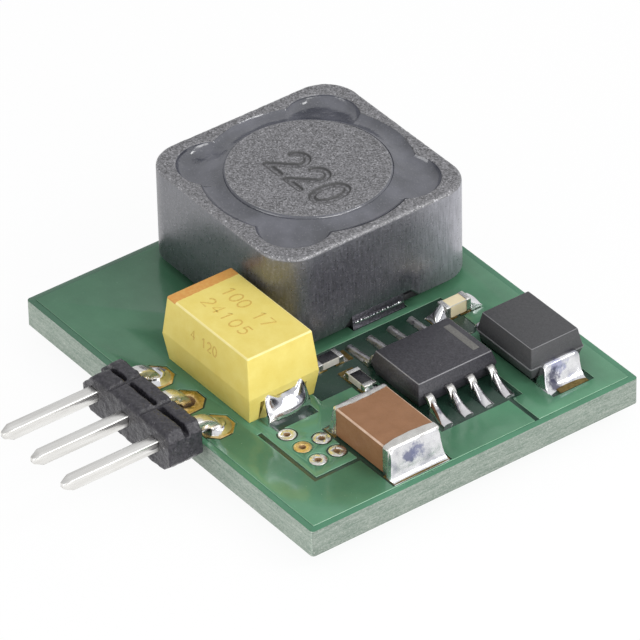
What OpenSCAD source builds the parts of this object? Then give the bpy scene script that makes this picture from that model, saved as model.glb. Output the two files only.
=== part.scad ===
// Step-down voltage regulator module: a small circuit board that carries a shielded power inductor,
// a switching regulator chip, a rectifier diode, capacitors and resistors, with a right-angle header.
//
// The modules work in the board's frame: the middle of the board is at X = Y = 0, the board's top face
// is at Z = 0, the pins point to -Y. place() moves them to the part's frame, with the origin in the
// middle of the base, at the ends of the pin tails.

/* [Board] */
// Laminate thickness
board_t = 1.5; // [1:0.1:2.4]
// Corner radius of the board outline
board_corner = 0.2; // [0.1:0.05:1]
// Height of the copper pour and its mask over the bare laminate
pour_t = 0.05; // [0.03:0.01:0.1]
// Bare margin between the pour and the board's edge
pour_margin = 0.36; // [0.2:0.02:0.9]
// Width of the gaps between the areas of the pour
pour_gap = 0.28; // [0.2:0.02:0.4]
// Clearance in the pour around a pad or a solder joint
pad_clearance = 0.1; // [0.05:0.01:0.2]

/* [Header] */
// Pin pitch
pitch = 2.54; // [2:0.01:3]
// Offset of the middle pin from the middle of the board
header_offset_x = -0.13; // [-1:0.01:1]
// Width across the square pin
pin_w = 0.64; // [0.5:0.02:0.8]
// Free length of a pin in front of the insulator
pin_free = 5.47; // [4:0.01:9]
// Length of the tapered pin tip
pin_tip = 0.5; // [0.2:0.05:1]
// Width left at the end of the tapered tip
pin_tip_w = 0.3; // [0.15:0.02:0.4]
// Height of the pin axis over the board's top face
pin_axis_z = 0.72; // [0.6:0.02:1.3]
// Inside radius of the right-angle bend
pin_bend_r = 0.5; // [0.15:0.05:0.5]
// Outside radius of the bend, where the pin is a little thinner
pin_outer_r = 1.5; // [0.7:0.01:1.6]
// Length of the pin tail under the board
pin_tail = 0.9; // [0.5:0.05:1.5]
// Distance from the hole row to the front edge of the board
hole_edge = 1.27; // [1:0.01:2]
// Inner diameter of a plated pin hole
hole_d = 1.02; // [0.9:0.02:1.2]
// Width across the octagonal pad
pad_w = 1.84; // [1.6:0.02:2]
// Wall of the copper plating in holes and vias
plating_t = 0.07; // [0.05:0.01:0.1]
// Height of the insulator
insulator_h = 2.33; // [2:0.01:2.8]
// Height of the pin axis over the insulator's underside
insulator_below = 1.25; // [1.1:0.01:1.4]
// Thickness of the front slab of the insulator
insulator_front = 1.13; // [1:0.01:2]
// Thickness of the back slab of the insulator
insulator_back = 0.87; // [0.6:0.01:1.5]
// Gap between the insulator and the front edge of the board
insulator_gap = 0.38; // [0.1:0.01:0.6]
// Chamfer at the lower corners of each position
insulator_chamfer = 0.56; // [0.3:0.01:0.7]
// Chamfer at the upper corners between two positions
insulator_notch = 0.2; // [0.1:0.01:0.5]
// Chamfer at the upper corner of the right end
insulator_end = 0.42; // [0.2:0.01:0.6]
// Cut at the upper corner of the front slab's left end, where it was broken from a longer strip
insulator_cut_front = 0.98; // [0.2:0.01:1.1]
// Cut at the upper corner of the back slab's left end
insulator_cut_back = 0.62; // [0.2:0.01:1]
// Length missing at the left end
insulator_trim = 0.28; // [0:0.01:0.5]
// Chamfer along the upper edge of the front face
insulator_edge = 0.18; // [0.05:0.01:0.3]
// Width of the slots in the top and bottom of the insulator
slot_w = 0.26; // [0.15:0.02:0.4]
// Depth of the slots
slot_depth = 0.5; // [0.2:0.05:0.7]
// Plastic left between two slots
slot_bridge = 0.28; // [0.15:0.02:0.5]

/* [Vias] */
// Outer diameter of a via's ring
via_d = 0.9; // [0.7:0.02:1]
// Inner diameter of a via
via_hole = 0.34; // [0.25:0.01:0.45]
// Spacing of the vias along the board
via_pitch_x = 1.27; // [1.1:0.01:1.5]
// Spacing of the two rows of vias
via_pitch_y = 1.16; // [1.1:0.01:1.5]

/* [Inductor] */
// Width of the square ferrite shield
inductor_w = 12; // [10:0.1:13]
// Height of the shield's top rim over the board
inductor_h = 5.9; // [4.5:0.1:8]
// Corner radius of the shield
shield_corner = 1.9; // [1.2:0.1:2.2]
// Narrowest wall of the shield, in the middle of a side
shield_wall = 0.55; // [0.4:0.05:0.8]
// Chamfer along the shield's top edge
shield_chamfer = 0.15; // [0.05:0.01:0.3]
// Radius of the ear pockets in the corners of the shield
ear_r = 1.93; // [1.5:0.01:2]
// Ferrite left between an ear pocket and the rounded corner
ear_wall = 1.02; // [0.7:0.02:1.3]
// Width of the resin ring between the drum core and the shield
moat_w = 1.17; // [0.8:0.01:1.5]
// Height of the drum's top disc over the shield's rim
drum_rise = 0.12; // [0:0.02:0.3]
// Thickness of the drum's flanges
drum_flange = 1.1; // [0.8:0.05:1.6]
// Diameter of the drum's post
drum_post_d = 4.6; // [3:0.1:6]
// Depth of the resin's surface below the shield's rim
resin_drop = 0.16; // [0.05:0.01:0.4]
// Depth of the resin ring
resin_t = 0.9; // [0.4:0.05:1]
// Thickness of the insulating base under the ferrite
base_t = 0.36; // [0.25:0.02:0.5]
// Inset of the base from the shield's sides
base_inset = 0.45; // [0.2:0.05:0.8]
// Thickness of the terminal strips
strip_t = 0.2; // [0.15:0.01:0.25]
// Width of the terminal strips
strip_w = 3.2; // [2.5:0.1:4]
// Length of the terminal strips under the base
strip_l = 2.6; // [2:0.1:3.5]
// Width of the notch in the shield's side over a terminal
notch_w = 4.7; // [4.2:0.1:5.5]
// Height of the notch
notch_h = 0.5; // [0.35:0.05:0.8]

/* [Tantalum capacitor] */
// Length at the parting line
tantalum_l = 7.3; // [6.8:0.1:8]
// Width at the parting line
tantalum_w = 4.25; // [3.8:0.05:4.6]
// Height of the top over the board
tantalum_h = 3.9; // [3:0.05:4.4]
// Height of the parting line over the board
tantalum_part_z = 1.65; // [1.4:0.05:2]
// Inset of the top and bottom faces from the parting line at the ends
tantalum_draft_l = 0.3; // [0.1:0.02:0.4]
// Inset of the top and bottom faces from the parting line at the sides
tantalum_draft_w = 0.17; // [0.1:0.01:0.3]
// Width of the terminals
tantalum_terminal_w = 2.4; // [2:0.1:2.6]
// Thickness of the terminals
tantalum_terminal_t = 0.15; // [0.1:0.01:0.2]
// Height of the recess for a terminal in the end face
tantalum_recess_h = 1.2; // [1:0.05:1.35]
// Reach of the solder beyond a terminal
tantalum_solder = 0.95; // [0.5:0.05:1.1]

/* [Regulator chip] */
// Length of the body along the rows of leads
ic_l = 4.9; // [4.7:0.05:5.2]
// Width of the body
ic_w = 3.9; // [3.6:0.05:4.1]
// Height of the top over the board
ic_h = 1.55; // [1.4:0.05:1.75]
// Clearance under the body
ic_standoff = 0.15; // [0.1:0.01:0.25]
// Inset of the top and bottom faces from the parting line
ic_draft = 0.2; // [0.1:0.01:0.25]
// Distance between the lead tips of the two rows
ic_span = 6; // [5.8:0.05:6.4]
// Lead pitch
ic_pitch = 1.27; // [1.2:0.01:1.3]
// Width of a lead
ic_lead_w = 0.42; // [0.35:0.01:0.5]
// Thickness of a lead
ic_lead_t = 0.2; // [0.17:0.01:0.22]
// Length of a lead's foot
ic_foot = 0.42; // [0.35:0.01:0.5]
// Reach of the solder beyond the lead tips on the right
ic_solder = 0.62; // [0.4:0.02:0.8]
// Reach of the solder beyond the lead tips on the left
ic_solder_far = 1.3; // [0.6:0.02:1.4]
// Height of the blunt end of the solder on the left
ic_toe_far = 0.16; // [0.05:0.01:0.2]
// Height of the solder behind a foot
ic_solder_h = 0.5; // [0.3:0.02:0.6]
// Reach of the solder beside the foot
ic_solder_side = 0.1; // [0.05:0.01:0.15]

/* [Diode] */
// Length of the body at the parting line
diode_l = 4.35; // [4:0.05:4.6]
// Width of the body at the parting line
diode_w = 3.3; // [3.1:0.05:3.9]
// Height of the top over the board
diode_h = 2.12; // [1.9:0.02:2.5]
// Height of the parting line over the board
diode_part_z = 1.05; // [1:0.01:1.15]
// Inset of the top and bottom faces from the parting line
diode_draft = 0.2; // [0.1:0.01:0.3]
// Width of the terminals
diode_terminal_w = 2.1; // [1.9:0.05:2.2]
// Thickness of the terminals
diode_terminal_t = 0.2; // [0.15:0.01:0.25]
// Reach of the solder beyond a terminal
diode_solder = 0.95; // [0.5:0.05:1.2]

/* [Ceramic capacitor] */
// Length over the end caps
mlcc_l = 4.5; // [4.2:0.05:4.8]
// Width
mlcc_w = 3.2; // [2.9:0.05:3.4]
// Height
mlcc_h = 1.75; // [1.5:0.05:2]
// Width of the end caps' bands
mlcc_band = 0.42; // [0.3:0.02:0.7]
// Reach of the solder beyond an end cap
mlcc_solder = 0.58; // [0.4:0.02:0.7]

/* [Small chips] */
// Length of the small capacitor and the resistors
chip_l = 1.6; // [1.5:0.05:1.8]
// Width of the small capacitor and the resistors
chip_w = 0.8; // [0.75:0.01:0.9]
// Height of the small capacitor
chip_cap_h = 0.8; // [0.7:0.02:0.9]
// Height of a resistor
resistor_h = 0.45; // [0.35:0.01:0.55]
// Width of the end caps' bands
chip_band = 0.3; // [0.25:0.01:0.4]
// Reach of the solder beyond an end cap
chip_solder = 0.42; // [0.3:0.01:0.5]
// Thickness of the metal of all end caps
cap_t = 0.04; // [0.03:0.01:0.06]

/* [Layout] */
// Distance from the hole row to the tantalum capacitor
hole_to_tantalum = 1.28; // [1.2:0.01:2]
// Distance from the tantalum capacitor to the inductor
tantalum_to_inductor = 0.16; // [0.1:0.01:0.5]
// Distance from the inductor to the left edge of the board
inductor_left = 0.46; // [0.3:0.01:1]
// Distance from the inductor to the back edge of the board
inductor_back = 1.04; // [0.6:0.01:2]
// Distance from the inductor to the lead tips of the regulator chip
inductor_to_ic = 2.19; // [2.1:0.01:2.6]
// Distance from the lead tips of the regulator chip to the right edge of the board
ic_right = 3.35; // [3:0.01:4]
// Distance from the tantalum capacitor to the regulator chip, along the board's depth
tantalum_to_ic = 2.95; // [2.9:0.01:3.5]
// Distance from the regulator chip to the diode
ic_to_diode = 0.7; // [0.5:0.01:1]
// Offset of the diode's middle from the regulator chip's middle
diode_offset_x = 1.55; // [1:0.01:2]
// Distance from the diode to the back edge of the board
diode_back = 1.35; // [0.8:0.01:2]
// Distance from the ceramic capacitor to the regulator chip
mlcc_to_ic = 1.15; // [1:0.01:1.5]
// Distance from the ceramic capacitor to the right edge of the board
mlcc_right = 1.1; // [1:0.01:1.5]
// Distance from the ceramic capacitor to the first row of vias
mlcc_to_via = 0.6; // [0.55:0.01:1]
// Distance from the tantalum capacitor's solder to the first via
solder_to_via = 0.6; // [0.5:0.01:1]
// Distance from the inductor to the middle of the small capacitor
inductor_to_chip_cap = 1.64; // [1.4:0.01:1.7]
// Distance from the regulator chip's middle to the small capacitor's middle, along the board's depth
ic_to_chip_cap = 4; // [3.95:0.01:4.5]
// Distance from the inductor to the middle of the first resistor
inductor_to_resistor = 1.19; // [0.9:0.01:1.5]
// Distance from the tantalum capacitor to the middle of the first resistor
tantalum_to_resistor = 1.8; // [1.75:0.01:1.85]
// Distance from the regulator chip's middle to the middle of the second resistor, along the board
ic_to_resistor_x = 1.68; // [1.6:0.01:1.8]
// Distance from the regulator chip to the middle of the second resistor, along the board's depth
ic_to_resistor_y = 0.77; // [0.7:0.01:0.9]

/* [Hidden] */
$fn = 48;

// Colours
mask_green = [0.22, 0.50, 0.36];
gold = [0.72, 0.58, 0.34];
tin = [0.80, 0.80, 0.78];
solder_grey = [0.78, 0.79, 0.82];
black_plastic = [0.16, 0.16, 0.18];
ferrite = [0.34, 0.34, 0.36];
resin_grey = [0.27, 0.28, 0.32];
copper = [0.66, 0.36, 0.20];
tantalum_yellow = [0.90, 0.80, 0.42];
ceramic_brown = [0.60, 0.45, 0.33];
ceramic_beige = [0.78, 0.67, 0.45];
alumina = [0.85, 0.84, 0.80];
glaze_black = [0.13, 0.13, 0.15];

// A small overlap that joins solids or cuts through faces
eps = 0.01;

// Facets of the solder fillets and of the pins' bends
fillet_rings = 6;
fillet_skin = 0.03;
bend_steps = 12;

// Copper and solder on the board
lead_field = 0.3;
pour_strip = 0.26;
solder_land = 0.12;
solder_cone = 0.7;
solder_rise = 0.22;
inductor_solder = 0.12;
inductor_solder_h = 0.48;
diode_flare = 0.3;
mlcc_flare = 0.2;
chip_flare = 0.14;

// Hidden shapes of the packages
winding_inset = 0.35;
tantalum_fold = 1.3;
tantalum_side_room = 0.2;
tantalum_seat = 0.06;
tantalum_solder_drop = 0.15;
ic_bend_r = 0.16;
ic_shoulder = 0.26;
diode_seat = 0.3;
diode_stub = 0.3;
diode_fold = 1.1;
chip_edge_r = 0.05;
mlcc_edge_r = 0.12;

// Layout, from the front edge to the back and from the left edge to the right
tantalum_front_rel = hole_edge + hole_to_tantalum;
inductor_front_rel = tantalum_front_rel + tantalum_w + tantalum_to_inductor;
ic_front_rel = tantalum_front_rel + tantalum_w + tantalum_to_ic;
diode_front_rel = ic_front_rel + ic_l + ic_to_diode;
board_y = max(inductor_front_rel + inductor_w + inductor_back, diode_front_rel + diode_w + diode_back);
board_x = inductor_left + inductor_w + inductor_to_ic + ic_span + ic_right;
front = -board_y / 2;
back = board_y / 2;
left = -board_x / 2;
right = board_x / 2;

hole_y = front + hole_edge;
header_x = header_offset_x;
tantalum_x = header_x;
tantalum_y = front + tantalum_front_rel + tantalum_w / 2;
inductor_x = left + inductor_left + inductor_w / 2;
inductor_y = front + inductor_front_rel + inductor_w / 2;
inductor_side = inductor_x + inductor_w / 2;
ic_x = inductor_side + inductor_to_ic + ic_span / 2;
ic_y = front + ic_front_rel + ic_l / 2;
diode_x = ic_x + diode_offset_x;
diode_y = front + diode_front_rel + diode_w / 2;
mlcc_x = right - mlcc_right - mlcc_l / 2;
mlcc_y = ic_y - ic_l / 2 - mlcc_to_ic - mlcc_w / 2;
via_x = tantalum_x + tantalum_l / 2 + tantalum_solder + solder_to_via;
via_y = mlcc_y - mlcc_w / 2 - mlcc_to_via;
chip_cap_x = inductor_side + inductor_to_chip_cap;
chip_cap_y = ic_y + ic_to_chip_cap;
resistor_1_x = inductor_side + inductor_to_resistor;
resistor_1_y = tantalum_y + tantalum_w / 2 + tantalum_to_resistor;
resistor_2_x = ic_x - ic_to_resistor_x;
resistor_2_y = ic_y - ic_l / 2 - ic_to_resistor_y;

// Positions of the pins and the vias
function pin_x(i) = header_x + (i - 2) * pitch;
VIAS = [[0, -1], [1, -1], [2, -1], [1, 0], [2, 0]];
function via_at(v) = [via_x + v[0] * via_pitch_x, via_y + v[1] * via_pitch_y];

// Header
insulator_face = front - insulator_gap - insulator_back - insulator_front;
insulator_seam = insulator_face + insulator_front;
insulator_rear = insulator_seam + insulator_back;
insulator_z0 = pin_axis_z - insulator_below;
insulator_z1 = insulator_z0 + insulator_h;
pin_end = insulator_face - pin_free;
drill_d = hole_d + 2 * plating_t;
via_drill = via_hole + 2 * plating_t;

// Inductor
ferrite_z = strip_t + base_t;
opening_r = inductor_w / 2 - shield_wall;
drum_d = 2 * (opening_r - moat_w);
corner_reach = sqrt(2) * (inductor_w / 2 - shield_corner) + shield_corner;
ear_x = (corner_reach - ear_wall - ear_r) / sqrt(2);
drum_top = inductor_h + drum_rise;
drum_z = ferrite_z;
resin_top = inductor_h - resin_drop;
strip_face = inductor_w / 2 - shield_wall + strip_t;

// Leads, terminals and chips
ic_part_z = (ic_h + ic_standoff) / 2;
tantalum_under = tantalum_terminal_t;
tantalum_face = tantalum_l / 2 - tantalum_draft_l;
mlcc_size = [mlcc_l, mlcc_w, mlcc_h];
chip_cap_size = [chip_l, chip_w, chip_cap_h];
resistor_size = [chip_l, chip_w, resistor_h];

// Part frame
base_drop = board_t + pin_tail;
shift_y = -(pin_end + back) / 2;

// Moves the board's frame to the part's frame.
module place() {
    translate([0, shift_y, base_drop])
        children();
}

// A block between two opposite corners.
module block(lo, hi) {
    translate(lo)
        cube(hi - lo);
}

// A rectangle with round corners, centred.
module round_rect(size, r) {
    square([size[0] - 2 * r, size[1]], center = true);
    square([size[0], size[1] - 2 * r], center = true);
    for (x = [-1, 1], y = [-1, 1])
        translate([x * (size[0] / 2 - r), y * (size[1] / 2 - r)])
            circle(r);
}

// A block with all its edges rounded, centred in X and Y, standing on z = 0.
module round_block(size, r) {
    intersection() {
        linear_extrude(size[2])
            round_rect([size[0], size[1]], r);
        translate([0, size[1] / 2, size[2] / 2])
            rotate([90, 0, 0])
                linear_extrude(size[1])
                    round_rect([size[0], size[2]], r);
        translate([-size[0] / 2, 0, size[2] / 2])
            rotate([90, 0, 90])
                linear_extrude(size[0])
                    round_rect([size[1], size[2]], r);
    }
}

// A block that tapers from a rectangle at z0 to another at z1, centred in X and Y.
module taper_block(size0, z0, size1, z1) {
    intersection() {
        translate([0, max(size0[1], size1[1]), 0])
            rotate([90, 0, 0])
                linear_extrude(2 * max(size0[1], size1[1]))
                    polygon([[-size0[0] / 2, z0], [size0[0] / 2, z0],
                             [size1[0] / 2, z1], [-size1[0] / 2, z1]]);
        translate([-max(size0[0], size1[0]), 0, 0])
            rotate([90, 0, 90])
                linear_extrude(2 * max(size0[0], size1[0]))
                    polygon([[-size0[1] / 2, z0], [size0[1] / 2, z0],
                             [size1[1] / 2, z1], [-size1[1] / 2, z1]]);
    }
}

// A moulded case: two tapered halves that meet at the parting line.
module moulded_case(size, z0, part_z, z1, draft) {
    inset = [size[0] - 2 * draft[0], size[1] - 2 * draft[1]];
    taper_block(inset, z0, size, part_z);
    taper_block(size, part_z, inset, z1);
}

// A path with its inner corners rounded: each corner becomes a short curve that starts at the distance r.
function unit(v) = v / norm(v);
function corner_curve(a, b, c, r, steps) =
    let (p = b + unit(a - b) * r, q = b + unit(c - b) * r)
    [for (i = [0 : steps]) let (t = i / steps) (1 - t) * (1 - t) * p + 2 * t * (1 - t) * b + t * t * q];
function rounded_path(points, r, steps = 4) =
    [points[0],
     for (i = [1 : len(points) - 2]) each corner_curve(points[i - 1], points[i], points[i + 1], r, steps),
     points[len(points) - 1]];

// The outline of a strip of thickness t along a path.
function path_normal(path, i) =
    let (a = path[max(i - 1, 0)], b = path[min(i + 1, len(path) - 1)], d = unit(b - a))
    [-d[1], d[0]];
function strip_outline(path, t) =
    concat([for (i = [0 : len(path) - 1]) path[i] + path_normal(path, i) * t / 2],
           [for (i = [len(path) - 1 : -1 : 0]) path[i] - path_normal(path, i) * t / 2]);

// A strip of sheet metal bent along a path in the XZ plane, centred in Y.
module bent_strip(path, t, w) {
    translate([0, w / 2, 0])
        rotate([90, 0, 0])
            linear_extrude(w)
                polygon(strip_outline(path, t));
}

// A concave solder fillet in front of an upright face at x = 0. At the board it reaches x = reach and is
// foot_w wide; it climbs to the height h, where it is top_w wide and ends flush with the face. A blunt toe
// stands up to the height toe.
module toe_fillet(reach, foot_w, top_w, h, toe = 0) {
    function ring(a, z) =
        let (x = reach * (1 - sin(a)) + fillet_skin * sin(a),
             y = (foot_w * (1 - sin(a)) + top_w * sin(a)) / 2)
        [[0, -y, z], [x, -y, z], [x, y, z], [0, y, z]];
    rings = concat(toe > 0 ? [ring(0, 0)] : [],
                   [for (i = [0 : fillet_rings]) let (a = 90 * i / fillet_rings)
                       ring(a, toe + (h - toe) * (1 - cos(a)))]);
    last = 4 * (len(rings) - 1);
    sides = [for (i = [0 : len(rings) - 2], k = [0 : 3])
        [4 * i + k, 4 * i + 4 + k, 4 * i + 4 + (k + 1) % 4, 4 * i + (k + 1) % 4]];
    polyhedron([for (r = rings) each r],
               concat([[0, 1, 2, 3]], sides, [[last + 3, last + 2, last + 1, last]]));
}

// Places its children at both ends of a part of length l along X, facing outwards.
module at_end(l, end) {
    rotate(end > 0 ? 0 : 180)
        translate([l / 2, 0, 0])
            children();
}

// Circuit board

module octagon(w) {
    rotate(22.5)
        circle(d = w / cos(22.5), $fn = 8);
}

module pin_holes(d) {
    for (i = [1 : 3])
        translate([pin_x(i), hole_y])
            circle(d = d);
}

// Rectangles that solder or bare pads take up, grown by a margin.
module chip_footprint(l, w, reach, margin) {
    square([l + 2 * (reach + margin), w + 2 * margin], center = true);
}

module solder_openings(margin) {
    for (i = [1 : 3])
        translate([pin_x(i), hole_y])
            octagon(pad_w + 2 * margin);
    for (v = VIAS)
        translate(via_at(v))
            circle(d = via_d + 2 * margin);
    translate([inductor_x, inductor_y])
        chip_footprint(2 * strip_face, strip_w, inductor_solder, margin);
    translate([tantalum_x, tantalum_y])
        chip_footprint(tantalum_l, tantalum_terminal_w, tantalum_solder, margin);
    translate([diode_x, diode_y])
        chip_footprint(diode_l + 2 * diode_stub, diode_terminal_w + diode_flare, diode_solder, margin);
    translate([mlcc_x, mlcc_y])
        chip_footprint(mlcc_l, mlcc_w + mlcc_flare, mlcc_solder, margin);
    translate([chip_cap_x, chip_cap_y])
        rotate(90)
            chip_footprint(chip_l, chip_w + chip_flare, chip_solder, margin);
    translate([resistor_1_x, resistor_1_y])
        rotate(90)
            chip_footprint(chip_l, chip_w + chip_flare, chip_solder, margin);
    translate([resistor_2_x, resistor_2_y])
        chip_footprint(chip_l, chip_w + chip_flare, chip_solder, margin);
}

// Areas with no copper: around the chip's leads, round the first resistor and before the small capacitor.
module bare_areas() {
    x0 = inductor_side + pour_strip;
    y0 = tantalum_y + tantalum_w / 2 - pour_strip;
    lead_row = 1.5 * ic_pitch + ic_lead_w / 2 + ic_solder_side + lead_field;
    translate([x0, ic_y - lead_row])
        square([ic_x + ic_span / 2 + ic_solder + lead_field - x0, 2 * lead_row]);
    translate([x0, y0])
        square([resistor_2_x - x0, ic_y - y0]);
    translate([x0, ic_y])
        square([diode_x - diode_l / 2 - diode_solder - x0, chip_cap_y + chip_w / 4 - ic_y]);
}

// Gaps between the areas of the pour: around the vias and from the chip to the right edge.
module pour_gaps() {
    gap_y = via_y - via_pitch_y - via_d - pour_gap / 2;
    gap_x = via_x + 2 * via_pitch_x + via_d + pour_gap;
    translate([via_x - via_d, gap_y - pour_gap / 2])
        square([gap_x - via_x + via_d + pour_gap / 2, pour_gap]);
    translate([gap_x - pour_gap / 2, gap_y])
        square([pour_gap, mlcc_y - gap_y]);
    translate([ic_x, ic_y + 1.5 * ic_pitch - pour_gap])
        square([right - ic_x, pour_gap]);
}

module pour_shape() {
    difference() {
        square([board_x - 2 * pour_margin, board_y - 2 * pour_margin], center = true);
        solder_openings(pad_clearance);
        bare_areas();
        pour_gaps();
    }
}

module board() {
    color(mask_green)
        place()
            difference() {
                union() {
                    translate([0, 0, -board_t])
                        linear_extrude(board_t)
                            round_rect([board_x, board_y], board_corner);
                    translate([0, 0, -eps])
                        linear_extrude(pour_t + eps)
                            pour_shape();
                }
                translate([0, 0, -board_t - eps])
                    linear_extrude(board_t + 2 * eps) {
                        pin_holes(drill_d);
                        for (v = VIAS)
                            translate(via_at(v))
                                circle(d = via_drill);
                    }
            }
}

// A plated hole: a barrel through the board with a pad on each face.
module plated_barrel(inner, outer) {
    difference() {
        union() {
            translate([0, 0, -board_t])
                cylinder(d = outer, h = board_t);
            children();
            translate([0, 0, -board_t - pour_t])
                children();
        }
        translate([0, 0, -board_t - pour_t - eps])
            cylinder(d = inner, h = board_t + 2 * (pour_t + eps));
    }
}

module plated_holes() {
    color(gold)
        place()
            for (i = [1 : 3])
                translate([pin_x(i), hole_y, 0])
                    plated_barrel(hole_d, drill_d)
                        linear_extrude(pour_t)
                            octagon(pad_w);
}

module vias() {
    color(gold)
        place()
            for (v = VIAS)
                translate(via_at(v))
                    plated_barrel(via_hole, via_drill)
                        cylinder(d = via_d, h = pour_t);
}

// Pin header

// The outline of the insulator seen along the pins: a chain of octagons, one for each position. The left
// end is shorter and has its upper corner cut off.
module insulator_outline(cut) {
    hw = pitch / 2;
    low = insulator_chamfer;
    for (i = [1 : 3]) {
        x0 = i == 1 ? insulator_trim - hw : -hw;
        c0 = i == 1 ? cut : insulator_notch;
        c1 = i == 3 ? insulator_end : insulator_notch;
        translate([pin_x(i), 0])
            polygon([[x0, insulator_z0 + low], [x0 + low, insulator_z0], [hw - low, insulator_z0],
                     [hw, insulator_z0 + low], [hw, insulator_z1 - c1], [hw - c1, insulator_z1],
                     [x0 + c0, insulator_z1], [x0, insulator_z1 - c0]]);
    }
}

module insulator_slab(y0, y1, cut) {
    translate([0, y1, 0])
        rotate([90, 0, 0])
            linear_extrude(y1 - y0)
                insulator_outline(cut);
}

// The slots between the slabs, in the top and the bottom, open at both ends of the row.
module insulator_slots() {
    hw = pitch / 2;
    side = hw - slot_bridge / 2;
    for (i = [1 : 3], z = [insulator_z0, insulator_z1])
        translate([pin_x(i), insulator_seam, z])
            block([i == 1 ? -hw - eps : -side, -slot_w / 2, -slot_depth],
                  [i == 3 ? hw + eps : side, slot_w / 2, slot_depth]);
}

module header_insulator() {
    color(black_plastic)
        place()
            difference() {
                union() {
                    insulator_slab(insulator_face, insulator_seam + eps, insulator_cut_front);
                    insulator_slab(insulator_seam, insulator_rear, insulator_cut_back);
                }
                insulator_slots();
                for (i = [1 : 3])
                    translate([pin_x(i) - pin_w / 2, insulator_face - eps, pin_axis_z - pin_w / 2])
                        cube([pin_w, insulator_rear - insulator_face + 2 * eps, pin_w]);
                translate([pin_x(1) - pitch, insulator_face, insulator_z1])
                    rotate([90, 0, 90])
                        linear_extrude(4 * pitch)
                            polygon([[-eps, eps], [-eps, -insulator_edge - eps],
                                     [insulator_edge + eps, eps]]);
            }
}

// The side view of a straight pin with its tapered tip, along Y.
module pin_profile(y1) {
    polygon([[pin_end, -pin_tip_w / 2], [pin_end + pin_tip, -pin_w / 2], [y1, -pin_w / 2],
             [y1, pin_w / 2], [pin_end + pin_tip, pin_w / 2], [pin_end, pin_tip_w / 2]]);
}

// The side view of a whole pin in the YZ plane: straight, a right-angle bend, and the tail.
function bend_arc(side, r, from, to) =
    let (y = hole_y + side * pin_w / 2 - r, z = pin_axis_z + side * pin_w / 2 - r)
    [for (k = [0 : bend_steps]) let (a = from + (to - from) * k / bend_steps)
        [y + r * cos(a), z + r * sin(a)]];
module pin_side(y0) {
    polygon(concat([[y0, pin_axis_z - pin_w / 2]], bend_arc(-1, pin_bend_r, 90, 0),
                   [[hole_y - pin_w / 2, -base_drop], [hole_y + pin_w / 2, -base_drop]],
                   bend_arc(1, pin_outer_r, 0, 90), [[y0, pin_axis_z + pin_w / 2]]));
}

module pin_bar(y0) {
    translate([-pin_w / 2, 0, 0])
        rotate([90, 0, 90])
            linear_extrude(pin_w)
                pin_side(y0);
}

// The tapered tip, as the part that two crossed tapers share.
module pin_tip_cut() {
    intersection() {
        translate([-pin_w / 2, 0, pin_axis_z])
            rotate([90, 0, 90])
                linear_extrude(pin_w)
                    pin_profile(insulator_face);
        translate([0, 0, pin_axis_z - pin_w / 2])
            linear_extrude(pin_w)
                rotate(90)
                    mirror([0, 1])
                        pin_profile(insulator_face);
    }
}

module pin(i) {
    color(tin)
        place()
            translate([pin_x(i), 0, 0]) {
                pin_tip_cut();
                pin_bar(insulator_face - eps);
            }
}

module header_pin_1() pin(1);
module header_pin_2() pin(2);
module header_pin_3() pin(3);

// A soldered pin: solder in the barrel, a cone under the board and, if it has risen, a fillet on top.
module header_joint(i, fill, rise) {
    r_hole = hole_d / 2;
    r_pad = pad_w / 2 - solder_land;
    r_pin = pin_w / sqrt(2);
    z_under = -board_t - pour_t;
    steps = 5;
    cone = [for (k = [0 : steps]) let (a = 90 * k / steps)
        [r_pad + (r_pin - r_pad) * sin(a), z_under - solder_cone * (1 - cos(a))]];
    top = rise
        ? [for (k = [steps : -1 : 0]) let (a = 90 * k / steps)
            [r_pad + (r_pin - r_pad) * sin(a), pour_t + solder_rise * (1 - cos(a))]]
        : [];
    z_fill = rise ? pour_t : -board_t * (1 - fill);
    outline = concat([[0, z_under - solder_cone]], [for (k = [steps : -1 : 0]) cone[k]],
                     [[r_hole, z_under], [r_hole, z_fill]],
                     rise ? [for (k = [len(top) - 1 : -1 : 0]) top[k]] : [],
                     [[0, rise ? pour_t + solder_rise : z_fill]]);
    color(solder_grey)
        place()
            translate([pin_x(i), hole_y, 0])
                difference() {
                    rotate_extrude()
                        polygon(outline);
                    translate([0, -hole_y, 0])
                        pin_bar(hole_y - 2 * pad_w);
                }
}

module header_solder_1() header_joint(1, 1, true);
module header_solder_2() header_joint(2, 0.5, false);
module header_solder_3() header_joint(3, 1, true);

// Inductor

module at_inductor() {
    place()
        translate([inductor_x, inductor_y, 0])
            children();
}

module shield_opening() {
    circle(opening_r, $fn = 72);
    for (x = [-1, 1], y = [-1, 1])
        translate([x * ear_x, y * ear_x])
            circle(ear_r);
}

module inductor_shield() {
    rim = inductor_w - 2 * shield_chamfer;
    color(ferrite)
        at_inductor()
            difference() {
                hull() {
                    translate([0, 0, ferrite_z])
                        linear_extrude(inductor_h - shield_chamfer - ferrite_z)
                            round_rect([inductor_w, inductor_w], shield_corner);
                    translate([0, 0, ferrite_z])
                        linear_extrude(inductor_h - ferrite_z)
                            round_rect([rim, rim], shield_corner - shield_chamfer);
                }
                translate([0, 0, ferrite_z - eps])
                    linear_extrude(inductor_h)
                        shield_opening();
                translate([0, 0, ferrite_z])
                    rotate([90, 0, 90])
                        linear_extrude(2 * inductor_w, center = true)
                            polygon([[-notch_w / 2, -eps], [notch_w / 2, -eps],
                                     [notch_w / 2 - notch_h, notch_h], [notch_h - notch_w / 2, notch_h]]);
            }
}

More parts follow.
